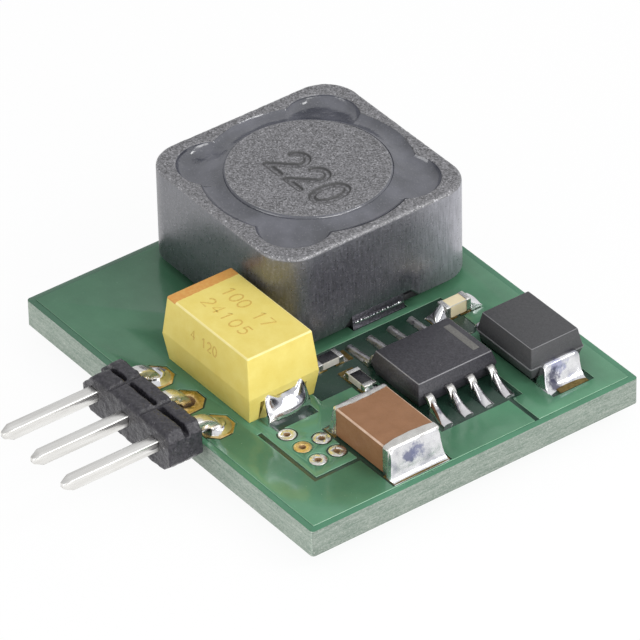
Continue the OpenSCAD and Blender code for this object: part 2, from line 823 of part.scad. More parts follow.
module inductor_drum() {
    r = drum_d / 2;
    color(ferrite)
        at_inductor()
            rotate_extrude($fn = 72)
                polygon([[0, drum_z], [r, drum_z], [r, drum_z + drum_flange],
                         [drum_post_d / 2, drum_z + drum_flange],
                         [drum_post_d / 2, drum_top - drum_flange], [r, drum_top - drum_flange],
                         [r, drum_top - shield_chamfer], [r - shield_chamfer, drum_top], [0, drum_top]]);
}

// The copper winding between the flanges, a closed ring with a slightly full outer side.
module inductor_winding() {
    z0 = drum_z + drum_flange;
    z1 = drum_top - drum_flange;
    r = drum_d / 2 - winding_inset;
    color(copper)
        at_inductor()
            rotate_extrude($fn = 72)
                polygon([[drum_post_d / 2, z0], [r - winding_inset / 2, z0], [r, z0 + winding_inset],
                         [r, z1 - winding_inset], [r - winding_inset / 2, z1], [drum_post_d / 2, z1]]);
}

module inductor_resin() {
    color(resin_grey)
        at_inductor()
            translate([0, 0, resin_top - resin_t])
                linear_extrude(resin_t)
                    difference() {
                        shield_opening();
                        circle(drum_d / 2, $fn = 72);
                    }
}

// A terminal: a strip under the base that turns up into the notch of the shield.
module inductor_strip(side) {
    x = strip_face - strip_t / 2;
    path = rounded_path([[x - strip_l, strip_t / 2], [x, strip_t / 2], [x, ferrite_z + notch_h]], strip_t);
    rotate(side > 0 ? 0 : 180)
        bent_strip(path, strip_t, strip_w);
}

module inductor_terminal(side) {
    color(tin)
        at_inductor()
            inductor_strip(side);
}

module inductor_base() {
    w = inductor_w - 2 * base_inset;
    color(black_plastic)
        at_inductor()
            difference() {
                translate([0, 0, strip_t])
                    linear_extrude(base_t)
                        difference() {
                            round_rect([w, w], shield_corner);
                            for (side = [-1, 1])
                                translate([side * strip_face, 0])
                                    square([2 * strip_t, strip_w], center = true);
                        }
                for (side = [-1, 1])
                    inductor_strip(side);
            }
}

module inductor_terminal_left() inductor_terminal(-1);
module inductor_terminal_right() inductor_terminal(1);

module inductor_joint(side) {
    color(solder_grey)
        at_inductor()
            at_end(2 * strip_face, side)
                toe_fillet(inductor_solder, strip_w, strip_w, inductor_solder_h);
}

module inductor_solder_left() inductor_joint(-1);
module inductor_solder_right() inductor_joint(1);

// Tantalum capacitor

module at_tantalum() {
    place()
        translate([tantalum_x, tantalum_y, 0])
            children();
}

// The terminals lie in recesses of the end faces and fold under the case.
module tantalum_recesses() {
    w = tantalum_terminal_w + 2 * tantalum_side_room;
    for (side = [-1, 1])
        rotate(side > 0 ? 0 : 180) {
            block([tantalum_face - tantalum_terminal_t, -w / 2, -eps],
                  [tantalum_l, w / 2, tantalum_recess_h]);
            block([tantalum_face - tantalum_fold, -w / 2, -eps], [tantalum_l, w / 2, tantalum_under]);
        }
}

module tantalum_strip(side) {
    t = tantalum_terminal_t;
    x = tantalum_face - t / 2;
    path = rounded_path([[x - tantalum_fold + t, tantalum_under - t / 2], [x, tantalum_under - t / 2],
                         [x, tantalum_recess_h]], t);
    rotate(side > 0 ? 0 : 180)
        bent_strip(path, t, tantalum_terminal_w);
}

module tantalum_case() {
    color(tantalum_yellow)
        at_tantalum()
            difference() {
                moulded_case([tantalum_l, tantalum_w], tantalum_seat, tantalum_part_z, tantalum_h,
                             [tantalum_draft_l, tantalum_draft_w]);
                tantalum_recesses();
                for (side = [-1, 1])
                    tantalum_strip(side);
            }
}

module tantalum_terminal(side) {
    color(tin)
        at_tantalum()
            tantalum_strip(side);
}

module tantalum_anode() tantalum_terminal(-1);
module tantalum_cathode() tantalum_terminal(1);

module tantalum_joint(side) {
    color(solder_grey)
        at_tantalum()
            at_end(2 * tantalum_face, side)
                toe_fillet(tantalum_solder, tantalum_terminal_w, tantalum_terminal_w,
                           tantalum_recess_h - tantalum_solder_drop);
}

module tantalum_solder_anode() tantalum_joint(-1);
module tantalum_solder_cathode() tantalum_joint(1);

// Regulator chip

module at_ic() {
    place()
        translate([ic_x, ic_y, 0])
            children();
}

module ic_body() {
    color(black_plastic)
        at_ic()
            moulded_case([ic_w, ic_l], ic_standoff, ic_part_z, ic_h, [ic_draft, ic_draft]);
}

// A gull-wing lead that leaves the body at the parting line and ends in a flat foot.
module gull_lead() {
    t = ic_lead_t;
    tip = ic_span / 2;
    shoulder = ic_w / 2 + ic_shoulder;
    path = rounded_path([[ic_w / 2, ic_part_z], [shoulder, ic_part_z],
                         [tip - ic_foot, t / 2], [tip, t / 2]], ic_bend_r);
    bent_strip(path, t, ic_lead_w);
}

// Leads 1 to 4 are on the left from the back to the front, 5 to 8 on the right from the front to the back.
function lead_side(i) = i <= 4 ? -1 : 1;
function lead_y(i) = (i <= 4 ? 2.5 - i : i - 6.5) * ic_pitch;
module ic_lead(i) {
    color(tin)
        at_ic()
            translate([0, lead_y(i), 0])
                rotate(lead_side(i) > 0 ? 0 : 180)
                    gull_lead();
}

module ic_lead_1() ic_lead(1);
module ic_lead_2() ic_lead(2);
module ic_lead_3() ic_lead(3);
module ic_lead_4() ic_lead(4);
module ic_lead_5() ic_lead(5);
module ic_lead_6() ic_lead(6);
module ic_lead_7() ic_lead(7);
module ic_lead_8() ic_lead(8);

// Each joint rises from the board before the lead's tip to the heel of the foot, with the lead cut out.
module ic_joints(leads, reach, toe) {
    w = ic_lead_w + 2 * ic_solder_side;
    color(solder_grey)
        at_ic()
            for (i = leads)
                translate([0, lead_y(i), 0])
                    rotate(lead_side(i) > 0 ? 0 : 180)
                        difference() {
                            translate([ic_span / 2 - ic_foot, 0, 0])
                                toe_fillet(ic_foot + reach, w, ic_lead_w, ic_solder_h, toe);
                            gull_lead();
                        }
}

module ic_solder_left() ic_joints([1, 2, 3, 4], ic_solder_far, ic_toe_far);
module ic_solder_right() ic_joints([5, 6, 7, 8], ic_solder, 0);

// Diode

module at_diode() {
    place()
        translate([diode_x, diode_y, 0])
            children();
}

module diode_case() {
    moulded_case([diode_l, diode_w], diode_seat, diode_part_z, diode_h,
                 [diode_draft, diode_draft]);
}

module diode_body() {
    color(black_plastic)
        at_diode()
            diode_case();
}

// A terminal that leaves the end at the parting line, turns down and folds under the case.
module diode_terminal(side) {
    t = diode_terminal_t;
    x = diode_l / 2 + diode_stub - t / 2;
    z = diode_part_z - t / 2;
    path = rounded_path([[diode_l / 2 - diode_draft / 2, z], [x, z],
                         [x, t / 2], [x - diode_fold, t / 2]], t);
    color(tin)
        at_diode()
            rotate(side > 0 ? 0 : 180)
                difference() {
                    bent_strip(path, t, diode_terminal_w);
                    diode_case();
                }
}

module diode_anode() diode_terminal(-1);
module diode_cathode() diode_terminal(1);

module diode_joint(side) {
    color(solder_grey)
        at_diode()
            at_end(diode_l + 2 * diode_stub, side)
                toe_fillet(diode_solder, diode_terminal_w + diode_flare, diode_terminal_w,
                           diode_part_z - 2 * diode_terminal_t);
}

module diode_solder_anode() diode_joint(-1);
module diode_solder_cathode() diode_joint(1);

// Chip parts with metal end caps

// The ceramic of a chip part, inside its end caps, standing on z = 0.
module chip_core(size, r) {
    translate([0, 0, cap_t])
        round_block([size[0] - 2 * cap_t, size[1] - 2 * cap_t, size[2] - 2 * cap_t], r);
}

module end_cap(size, band, r, side) {
    difference() {
        intersection() {
            round_block(size, r + cap_t);
            rotate(side > 0 ? 0 : 180)
                block([size[0] / 2 - band, -size[1], -size[2]], [size[0], size[1], 2 * size[2]]);
        }
        chip_core(size, r);
    }
}

module at_mlcc() {
    place()
        translate([mlcc_x, mlcc_y, 0])
            children();
}

module mlcc_body() {
    color(ceramic_brown)
        at_mlcc()
            chip_core(mlcc_size, mlcc_edge_r);
}

module mlcc_cap_left() {
    color(tin)
        at_mlcc()
            end_cap(mlcc_size, mlcc_band, mlcc_edge_r, -1);
}

module mlcc_cap_right() {
    color(tin)
        at_mlcc()
            end_cap(mlcc_size, mlcc_band, mlcc_edge_r, 1);
}

module mlcc_joint(side) {
    color(solder_grey)
        at_mlcc()
            at_end(mlcc_l, side)
                toe_fillet(mlcc_solder, mlcc_w + mlcc_flare, mlcc_w - 2 * mlcc_edge_r,
                           mlcc_h - 2 * mlcc_edge_r);
}

module mlcc_solder_left() mlcc_joint(-1);
module mlcc_solder_right() mlcc_joint(1);

module at_chip_cap() {
    place()
        translate([chip_cap_x, chip_cap_y, 0])
            rotate(90)
                children();
}

module chip_cap_body() {
    color(ceramic_beige)
        at_chip_cap()
            chip_core(chip_cap_size, chip_edge_r);
}

module chip_cap_ends() {
    color(tin)
        at_chip_cap()
            for (side = [-1, 1])
                end_cap(chip_cap_size, chip_band, chip_edge_r, side);
}

module chip_joints(h) {
    for (side = [-1, 1])
        at_end(chip_l, side)
            toe_fillet(chip_solder, chip_w + chip_flare, chip_w - 2 * chip_edge_r, h - 2 * chip_edge_r);
}

module chip_cap_solder() {
    color(solder_grey)
        at_chip_cap()
            chip_joints(chip_cap_h);
}

// Resistors: an alumina chip with end caps and a black glaze over the film between them.

module at_resistor(i) {
    place()
        translate(i == 1 ? [resistor_1_x, resistor_1_y, 0] : [resistor_2_x, resistor_2_y, 0])
            rotate(i == 1 ? 90 : 0)
                children();
}

module resistor_body(i) {
    color(alumina)
        at_resistor(i)
            chip_core(resistor_size, chip_edge_r / 2);
}

module resistor_ends(i) {
    color(tin)
        at_resistor(i)
            for (side = [-1, 1])
                end_cap(resistor_size, chip_band, chip_edge_r / 2, side);
}

module resistor_glaze(i) {
    color(glaze_black)
        at_resistor(i)
            translate([0, 0, resistor_h - cap_t])
                linear_extrude(cap_t)
                    square([chip_l - 2 * chip_band, chip_w - 2 * (cap_t + chip_edge_r)], center = true);
}

module resistor_joints(i) {
    color(solder_grey)
        at_resistor(i)
            chip_joints(resistor_h);
}

module resistor_1_body() resistor_body(1);
module resistor_1_glaze() resistor_glaze(1);
module resistor_1_ends() resistor_ends(1);
module resistor_1_solder() resistor_joints(1);
module resistor_2_body() resistor_body(2);
module resistor_2_glaze() resistor_glaze(2);
module resistor_2_ends() resistor_ends(2);
module resistor_2_solder() resistor_joints(2);

board();
plated_holes();
vias();
header_insulator();
header_pin_1();
header_pin_2();
header_pin_3();
header_solder_1();
header_solder_2();
header_solder_3();
inductor_shield();
inductor_drum();
inductor_winding();
inductor_resin();
inductor_base();
inductor_terminal_left();
inductor_terminal_right();
inductor_solder_left();
inductor_solder_right();
tantalum_case();
tantalum_anode();
tantalum_cathode();
tantalum_solder_anode();
tantalum_solder_cathode();
ic_body();
ic_lead_1();
ic_lead_2();
ic_lead_3();
ic_lead_4();
ic_lead_5();
ic_lead_6();
ic_lead_7();
ic_lead_8();
ic_solder_left();
ic_solder_right();
diode_body();
diode_anode();
diode_cathode();
diode_solder_anode();
diode_solder_cathode();
mlcc_body();
mlcc_cap_left();
mlcc_cap_right();
mlcc_solder_left();
mlcc_solder_right();
chip_cap_body();
chip_cap_ends();
chip_cap_solder();
resistor_1_body();
resistor_1_glaze();
resistor_1_ends();
resistor_1_solder();
resistor_2_body();
resistor_2_glaze();
resistor_2_ends();
resistor_2_solder();
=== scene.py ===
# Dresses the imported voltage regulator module: fine shapes, materials, light and the camera.
#
# Sizes are in millimetres in the board's frame: X along the pin row, Y away from the pins, the board's
# middle at X = Y = 0 and its bare top at Z = 0. make_piece() turns them into metres in the part's frame.
import math

import bmesh
import bpy
import numpy as np
from mathutils import Matrix, Vector, noise


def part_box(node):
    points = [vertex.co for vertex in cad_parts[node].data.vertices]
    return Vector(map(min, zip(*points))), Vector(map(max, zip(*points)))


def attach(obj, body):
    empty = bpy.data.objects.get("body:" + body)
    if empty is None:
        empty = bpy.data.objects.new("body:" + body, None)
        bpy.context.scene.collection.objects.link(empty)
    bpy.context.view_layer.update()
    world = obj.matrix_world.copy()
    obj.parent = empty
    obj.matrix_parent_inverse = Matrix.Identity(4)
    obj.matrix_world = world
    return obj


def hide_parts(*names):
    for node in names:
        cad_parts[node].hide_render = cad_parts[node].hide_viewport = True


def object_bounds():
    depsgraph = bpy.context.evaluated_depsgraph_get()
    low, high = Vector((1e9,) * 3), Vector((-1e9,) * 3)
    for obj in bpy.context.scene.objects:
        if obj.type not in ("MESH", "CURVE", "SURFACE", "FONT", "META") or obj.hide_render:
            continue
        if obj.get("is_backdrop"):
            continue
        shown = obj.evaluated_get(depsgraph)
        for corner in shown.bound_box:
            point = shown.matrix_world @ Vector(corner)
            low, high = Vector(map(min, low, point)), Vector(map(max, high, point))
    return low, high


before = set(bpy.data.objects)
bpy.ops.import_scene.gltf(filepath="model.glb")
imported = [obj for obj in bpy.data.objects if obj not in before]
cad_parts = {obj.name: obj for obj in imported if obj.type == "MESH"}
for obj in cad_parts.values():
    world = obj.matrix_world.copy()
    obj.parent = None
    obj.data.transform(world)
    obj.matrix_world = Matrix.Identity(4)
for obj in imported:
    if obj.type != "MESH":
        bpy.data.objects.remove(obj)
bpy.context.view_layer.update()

MM = 0.001
POUR_T = 0.05
RANGE_SOCKETS = ("From Min", "From Max", "To Min", "To Max")

board_lo, board_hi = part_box("board")
ORIGIN = np.array([(board_lo.x + board_hi.x) / 2, (board_lo.y + board_hi.y) / 2, board_hi.z - POUR_T * MM])


def box(node):
    """The lowest and highest corner of a CAD node, in millimetres in the board's frame."""
    lo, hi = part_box(node)
    return (np.array(lo) - ORIGIN) / MM, (np.array(hi) - ORIGIN) / MM


# Materials


class Nodes:
    """Short calls for the nodes of a material or of the world. Colours are display values from 0 to 255."""

    def __init__(self, tree):
        self.tree = tree

    def link(self, value, socket):
        if isinstance(value, bpy.types.NodeSocket):
            self.tree.links.new(value, socket)
        else:
            socket.default_value = value

    def node(self, kind, *values, **named):
        """A new node. Inputs are linked or set by place or by name, and settings by their lower-case name."""
        node = self.tree.nodes.new("ShaderNode" + kind)
        for key, value in [*named.items(), *enumerate(values)]:
            if str(key).islower():
                setattr(node, key, value)
            else:
                self.link(value, node.inputs[key])
        return node

    def fit(self, value, from_low, from_high, low=0.0, high=1.0):
        limits = dict(zip(RANGE_SOCKETS, (from_low, from_high, low, high)))
        return self.node("MapRange", Value=value, **limits).outputs["Result"]

    def math(self, operation, a, b):
        return self.node("Math", a, b, operation=operation).outputs[0]

    def times(self, a, b):
        return self.math("MULTIPLY", a, b)

    def plus(self, a, b, share):
        """The sum of a and a share of b."""
        return self.math("ADD", a, self.times(b, share))

    def mix(self, share, a, b):
        node = self.node("Mix", data_type="RGBA", Factor=share)
        for name, colour in (("A", a), ("B", b)):
            socket = next(s for s in node.inputs if s.name == name and s.type == "RGBA")
            self.link(colour if isinstance(colour, bpy.types.NodeSocket) else (*srgb(colour), 1), socket)
        return next(s for s in node.outputs if s.type == "RGBA")


class Look(Nodes):
    """A material in the making. Lengths are millimetres."""

    def __init__(self, name, base, roughness, metallic=0.0, **sockets):
        self.material = bpy.data.materials.new(name)
        self.material.use_nodes = True
        super().__init__(self.material.node_tree)
        self.shader = self.tree.nodes["Principled BSDF"]
        self.drive(base_color=(*srgb(base), 1), roughness=roughness, metallic=metallic, **sockets)
        self.mm = self.scaled(self.node("TexCoord").outputs["Object"], (1 / MM,) * 3)

    def drive(self, **sockets):
        for socket, value in sockets.items():
            self.link(value, self.shader.inputs[socket.replace("_", " ").title().replace("Ior", "IOR")])

    def finish(self, colour, polish, smooth, rough):
        """Drives the colour, and the roughness by a noise between two values."""
        self.drive(base_color=colour, roughness=self.fit(polish, 0.3, 0.7, smooth, rough))

    def scaled(self, vector, scale):
        return self.node("VectorMath", vector, scale, operation="MULTIPLY").outputs[0]

    def noise(self, per_mm, detail=3.0, rough=0.55, stretch=(1, 1, 1), distortion=0.0):
        return self.node("TexNoise", Vector=self.scaled(self.mm, stretch), Scale=per_mm, Detail=detail,
                         Roughness=rough, Distortion=distortion).outputs["Fac"]

    def axis(self, name):
        return self.node("SeparateXYZ", self.mm).outputs[name]

    def bump(self, height, depth):
        self.drive(normal=self.node("Bump", Height=height, Distance=depth * MM).outputs["Normal"])


def srgb(colour):
    """The linear values of a display colour."""
    return tuple(c / 255 / 12.92 if c <= 10 else ((c / 255 + 0.055) / 1.055) ** 2.4 for c in colour)


def dimmed(colour, share):
    return tuple(c * share for c in colour)


MASK_ROUGH = 0.2
# How much painted shade darkens the mask at the board's left end.
PAINTED_LEFT_SHADE = 0.46


def mask_look(name, colour, shade):
    """Solder mask: a satin green lacquer with faint blotches and dust, and painted shade
    that darkens it towards the left.
    """
    look = Look(name, colour, MASK_ROUGH, specular_ior_level=0.5)
    blotch = look.fit(look.noise(0.45, 4), 0.35, 0.68)
    fine = look.fit(look.noise(9, 2), 0.3, 0.75)
    base = look.mix(blotch, colour, shade)
    # Painted shade: towards the board's left end the colour is mixed with a dimmed copy of the second colour.
    base = look.mix(look.fit(look.axis("X"), -12.0, 3.0, PAINTED_LEFT_SHADE, 0.0), base, dimmed(shade, 0.45))
    dust = look.fit(look.noise(26, 1), 0.7, 0.78, 0.0, 0.2)
    look.drive(base_color=look.mix(dust, base, (170, 190, 172)),
               roughness=look.fit(fine, 0, 1, MASK_ROUGH - 0.06, MASK_ROUGH + 0.08))
    look.bump(look.plus(look.noise(1.6, 3), look.noise(14, 2), 0.12), 0.01)
    return look.material


def laminate_look(name, shade=1.0):
    """The cut edge of the board: pale glass cloth in resin, in thin layers, milled and dusty."""
    # shade below 1 dims every colour of the edge: painted shade.
    look = Look(name, dimmed((176, 186, 174), shade), 0.7, specular_ior_level=0.3)
    layers = look.noise(1.0, 4, 0.65, stretch=(0.7, 0.7, 8.0))
    speck = look.noise(13.0, 3, 0.7, stretch=(0.6, 0.6, 1.3))
    tone = look.fit(look.plus(look.times(layers, 0.6), speck, 0.7), 0.46, 0.84)
    base = look.mix(tone, dimmed((122, 142, 128), shade), dimmed((186, 194, 184), shade))
    chips = look.fit(look.noise(12, 2, 0.6), 0.62, 0.7, 0.0, 0.6)
    look.drive(base_color=look.mix(chips, base, dimmed((228, 232, 222), shade)))
    look.bump(look.math("ADD", speck, layers), 0.03)
    return look.material


def metal_look(name, colour, dark, roughness, stretch=(1, 1, 1), grain=4.0, depth=0.012):
    """Bare or plated metal with a soft mottle and fine waves in the surface."""
    look = Look(name, colour, roughness, 1.0)
    cloud = look.noise(grain, 4, 0.6, stretch=stretch)
    polish = look.noise(grain * 2, 3, 0.6, stretch=stretch)
    base = look.mix(look.fit(cloud, 0.35, 0.7), colour, dark)
    look.finish(base, polish, roughness * 0.6, roughness * 1.5)
    look.bump(look.plus(cloud, look.noise(grain * 5, 2, 0.5, stretch=stretch), 0.2), depth)
    return look.material


def solder_look(name, roughness, colour=(240, 240, 242), wave=0.014, painted_reflections=()):
    """Bright solder with slow waves and some bluish patches of flux and oxide. The last argument adds patches
    painted as reflections of nearby parts and the sky: each has its middle in the board's frame, its radius
    and its colour."""
    look = Look(name, colour, roughness, 1.0)
    base = look.mix(look.fit(look.noise(1.6, 4, 0.6), 0.35, 0.7), colour, dimmed(colour, 0.9))
    patch = look.fit(look.noise(1.0, 1.5, 0.5, distortion=0.3), 0.55, 0.72, 0.0, 0.55)
    base = look.mix(patch, base, (112, 116, 138))
    # Painted reflections: each patch darkens or tints the solder where a nearby part or the sky would be
    # mirrored.
    for middle, radius, dark in painted_reflections:
        place = np.array(middle) + ORIGIN / MM
        away = look.node("VectorMath", look.mm, place, operation="DISTANCE").outputs["Value"]
        uneven = look.fit(look.noise(2.6, 4, 0.65), 0.25, 0.75, -0.9 * radius, 0.9 * radius)
        reflection_share = look.fit(look.math("ADD", away, uneven), radius * 0.6, radius * 1.4, 0.85, 0.0)
        base = look.mix(reflection_share, base, dark)
    look.finish(base, look.noise(3.2, 3), roughness * 0.6, roughness * 1.5)
    look.bump(look.plus(look.noise(1.6, 4), look.noise(8, 2), 0.2), wave)
    return look.material


def moulded_look(name, colour, pale, roughness, grain=22.0, scuff=0.0, depth=0.01):
    """Moulded resin: fine matt grain, a little dust and, if asked, pale scuffs."""
    look = Look(name, colour, roughness, specular_ior_level=0.45)
    fine = look.noise(grain, 3, 0.6)
    base = look.mix(look.fit(fine, 0.35, 0.72), colour, pale)
    marks = look.fit(look.noise(2.4, 5, 0.75, distortion=0.6), 0.66, 0.74, 0.0, scuff)
    base = look.mix(marks, base, (178, 176, 176))
    look.finish(base, look.noise(grain / 4, 2), roughness - 0.08, roughness + 0.1)
    look.bump(look.plus(fine, look.noise(grain / 6, 3), 0.5), depth)
    return look.material


def ferrite_look(name, dark, bright, grain, roughness=0.5, ior=1.9, painted_glints=0.5):
    """Ground ferrite: fine grains of many greys, the odd one painted pale as a glint (a painted highlight),
    and painted shade where a number is sunk.
    """
    look = Look(name, dark, roughness, ior=ior)
    grains = look.node("TexVoronoi", Vector=look.mm, Scale=grain).outputs
    red, green, blue = look.node("SeparateColor", grains["Color"]).outputs[:3]
    tone = look.plus(look.times(red, 0.55), look.noise(grain * 0.5, 3, 0.7), 0.5)
    base = look.mix(look.fit(tone, 0.2, 0.85), dark, bright)
    # Painted highlight: a few grains are painted pale as glints.
    painted_glint = look.fit(green, 0.92, 0.97, 0.0, painted_glints)
    base = look.mix(painted_glint, base, (190, 189, 193))
    # Painted shade where a number is sunk, read from an attribute of the disc.
    painted_groove_shade = look.node("Attribute", attribute_name="painted_groove_shade").outputs["Fac"]
    look.drive(base_color=look.mix(painted_groove_shade, base, (22, 21, 23)),
               roughness=look.fit(blue, 0, 1, roughness - 0.12, roughness + 0.12))
    look.bump(look.math("ADD", look.fit(grains["Distance"], 0, 1, 1, 0), look.noise(grain * 0.4, 3)), 0.014)
    return look.material


def ferrite_side_look():
    """The pressed sides of the shield: dark and satin, with upright drag marks, and a painted reflection that
    makes one end pale.
    """
    look = Look("ferrite_side", (50, 50, 54), 0.3, ior=2.45, specular_tint=(0.95, 0.96, 1.0, 1))
    fine = look.noise(8, 4, 0.75)
    drag = look.noise(9, 3, 0.6, stretch=(1, 1, 0.12))
    base = look.mix(look.fit(drag, 0.3, 0.7), (36, 36, 41), (72, 71, 79))
    # Painted reflection: pale on the face at high X, towards its end at high Y, streaked by the drag marks.
    reflection_x = look.fit(look.axis("X"), -1.4, -0.4)
    reflection_y = look.fit(look.axis("Y"), 8.6, 13.2, 0.0, 0.8)
    painted_reflection = look.times(look.times(reflection_x, reflection_y), look.fit(drag, 0.25, 0.7, 0.35, 1.0))
    base = look.mix(painted_reflection, base, (186, 186, 196))
    pit = look.fit(fine, 0.54, 0.68, 0.0, 0.6)
    look.finish(look.mix(pit, base, (124, 124, 130)), look.noise(6, 4, 0.7), 0.24, 0.38)
    look.bump(look.plus(fine, drag, 0.8), 0.012)
    return look.material


def resin_look():
    """Potting resin: smooth and glossy, with slow waves and some fine filler."""
    look = Look("resin", (84, 86, 94), 0.14, ior=2.0)
    base = look.mix(look.fit(look.noise(0.6, 3), 0.35, 0.68), (58, 60, 69), (88, 89, 99))
    fill = look.fit(look.noise(9, 3), 0.58, 0.7, 0.0, 0.35)
    look.finish(look.mix(fill, base, (122, 122, 128)), look.noise(2.2, 3), 0.1, 0.2)
    look.bump(look.plus(look.noise(1.2, 3), look.noise(9, 2), 0.1), 0.04)
    return look.material


def tantalum_look(band_x, top_z):
    """Yellow moulding compound with fine grain. A printed band covers the top at the marked end."""
    look = Look("tantalum_case", (232, 212, 122), 0.46, specular_ior_level=0.45)
    cloud = look.noise(1.1, 4, 0.6)
    grain = look.noise(20, 3, 0.65)
    yellow = look.mix(look.fit(cloud, 0.3, 0.72), (236, 218, 123), (229, 207, 104))
    yellow = look.mix(look.fit(grain, 0.55, 0.8, 0, 0.4), yellow, (242, 228, 160))
    ragged = look.math("ADD", look.axis("X"), look.fit(look.noise(5, 3), 0, 1, -0.05, 0.05))
    inside = look.math("LESS_THAN", ragged, band_x)
    on_top = look.math("GREATER_THAN", look.axis("Z"), top_z)
    faded = look.fit(look.noise(6, 3), 0.2, 0.6, 0.75, 1.0)
    band = look.times(look.times(inside, on_top), faded)
    look.finish(look.mix(band, yellow, (212, 150, 74)), look.noise(6, 3), 0.42, 0.6)
    look.bump(look.plus(cloud, grain, 0.5), 0.012)
    return look.material


def ceramic_look(name, colour, shade, pale, roughness):
    """Sintered ceramic: even colour with fine specks."""
    look = Look(name, colour, roughness, specular_ior_level=0.4)
    speck = look.noise(16, 3, 0.7)
    base = look.mix(look.fit(look.noise(1.6, 4), 0.3, 0.7), colour, shade)
    base = look.mix(look.fit(speck, 0.62, 0.75, 0, 0.5), base, pale)
    look.finish(base, look.noise(5, 2), roughness - 0.08, roughness + 0.1)
    look.bump(speck, 0.008)
    return look.material


def ink_look(name, colour, pale, roughness):
    """A printed mark: ink with small breaks."""
    look = Look(name, colour, roughness, specular_ior_level=0.3)
    look.drive(base_color=look.mix(look.fit(look.noise(14, 3, 0.7), 0.4, 0.65), colour, pale))
    return look.material


# Meshes


def new_object(name, data):
    """A new object in the scene."""
    thing = bpy.data.objects.new(name, data)
    bpy.context.scene.collection.objects.link(thing)
    return thing


def modified(mesh, *modifiers):
    """A mesh as some modifiers leave it, each given by its kind and settings."""
    rough = new_object("rough", mesh)
    for kind, settings in modifiers:
        modifier = rough.modifiers.new(kind, kind)
        for key, value in settings.items():
            setattr(modifier, key, value)
    fine = bpy.data.meshes.new_from_object(rough.evaluated_get(bpy.context.evaluated_depsgraph_get()))
    bpy.data.objects.remove(rough)
    return fine


def noise_at(x, y, z):
    return noise.noise(Vector((x, y, z)))


def make_piece(name, shape, looks, nodes=(), face_looks=None, sharp=40, attributes=None):
    """A piece of the object. shape is the vertices and faces of a closed mesh in the board's frame."""
    verts, faces = shape
    mesh = bpy.data.meshes.new(name)
    places = np.asarray(verts, float) * MM + ORIGIN
    mesh.from_pydata(places.tolist(), [], [tuple(map(int, f)) for f in faces])
    for key, values in (attributes or {}).items():
        mesh.attributes.new(key, "FLOAT", "POINT").data.foreach_set("value", np.asarray(values, np.float32))
    bm = bmesh.new()
    bm.from_mesh(mesh)
    bmesh.ops.recalc_face_normals(bm, faces=bm.faces)
    bm.to_mesh(mesh)
    bm.free()
    show(name, mesh, looks, nodes, face_looks, sharp)


def show(name, mesh, looks, nodes=(), face_looks=None, sharp=40):
    """Links a mesh as a piece that rides on the part and may stand for CAD nodes."""
    looks = looks if isinstance(looks, list) else [looks]
    mesh.materials.clear()
    for look in looks:
        mesh.materials.append(look)
    if face_looks is not None:
        mesh.polygons.foreach_set("material_index", np.asarray(face_looks, np.int32))
    mesh.polygons.foreach_set("use_smooth", np.ones(len(mesh.polygons), bool))
    mesh.set_sharp_from_angle(angle=math.radians(sharp))
    mesh.update()
    piece = new_object(name, mesh)
    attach(piece, "root")
    if nodes:
        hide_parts(*nodes)


WELD = 1e-7
FLAT_WITHIN = 0.6
BEVEL_ANGLE = 30


def dress(node, looks, bevel=0.03, segments=2, sharp=40, pick=None, cuts=(), only=None):
    """A CAD node's own shape with its edges broken by a small bevel. pick chooses the number of a face's
    look by its corners and normal. cuts are planes, each a point and a normal, that part flat faces for pick
    to tell them apart. only tells from an edge's two ends whether it is broken."""
    bm = bmesh.new()
    bm.from_mesh(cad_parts[node].data)
    bmesh.ops.remove_doubles(bm, verts=bm.verts, dist=WELD)
    bmesh.ops.dissolve_limit(bm, angle_limit=math.radians(FLAT_WITHIN), verts=bm.verts, edges=bm.edges)
    for point, normal in cuts:
        bmesh.ops.bisect_plane(bm, geom=bm.verts[:] + bm.edges[:] + bm.faces[:],
                               plane_co=np.array(point) * MM + ORIGIN, plane_no=normal)
    if only:
        weight = bm.edges.layers.float.new("bevel_weight_edge")
        for line in bm.edges:
            line[weight] = float(only(*((np.array(v.co) - ORIGIN) / MM for v in line.verts)))
    mesh = bpy.data.meshes.new(node + "_fine")
    bm.to_mesh(mesh)
    bm.free()
    fine = modified(mesh, ("BEVEL", dict(
        width=bevel * MM, segments=segments, limit_method="WEIGHT" if only else "ANGLE",
        angle_limit=math.radians(BEVEL_ANGLE), use_clamp_overlap=True, harden_normals=not only)))
    face_looks = None
    if pick:
        points = np.array([(np.array(v.co) - ORIGIN) / MM for v in fine.vertices])
        face_looks = [pick(points[list(p.vertices)], p.normal) for p in fine.polygons]
    show(node + "_fine", fine, looks, (node,), face_looks, sharp)


SLOW_WAVE = 1.7
QUICK_WAVE = 5.0
QUICK_SHARE = 0.4


def soften(node, look, cell, rounds, uneven):
    """A CAD node's own shape with round, uneven edges, as a rough moulding has: built anew from small cells,
    smoothed and then moved in and out by a slow noise and a quick one."""
    to_board = Matrix.Diagonal((1 / MM, 1 / MM, 1 / MM, 1)) @ Matrix.Translation(-Vector(ORIGIN))
    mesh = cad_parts[node].data.copy()
    mesh.transform(to_board)
    fine = modified(mesh, ("REMESH", dict(mode="VOXEL", voxel_size=cell)),
                    ("SMOOTH", dict(factor=0.5, iterations=rounds)))
    verts = []
    for v in fine.vertices:
        wave = noise.noise(v.co * SLOW_WAVE) + QUICK_SHARE * noise.noise(v.co * QUICK_WAVE)
        verts.append(v.co + v.normal * uneven * wave)
    faces = [tuple(p.vertices) for p in fine.polygons]
    make_piece(node + "_fine", (verts, faces), look, (node,), sharp=80)


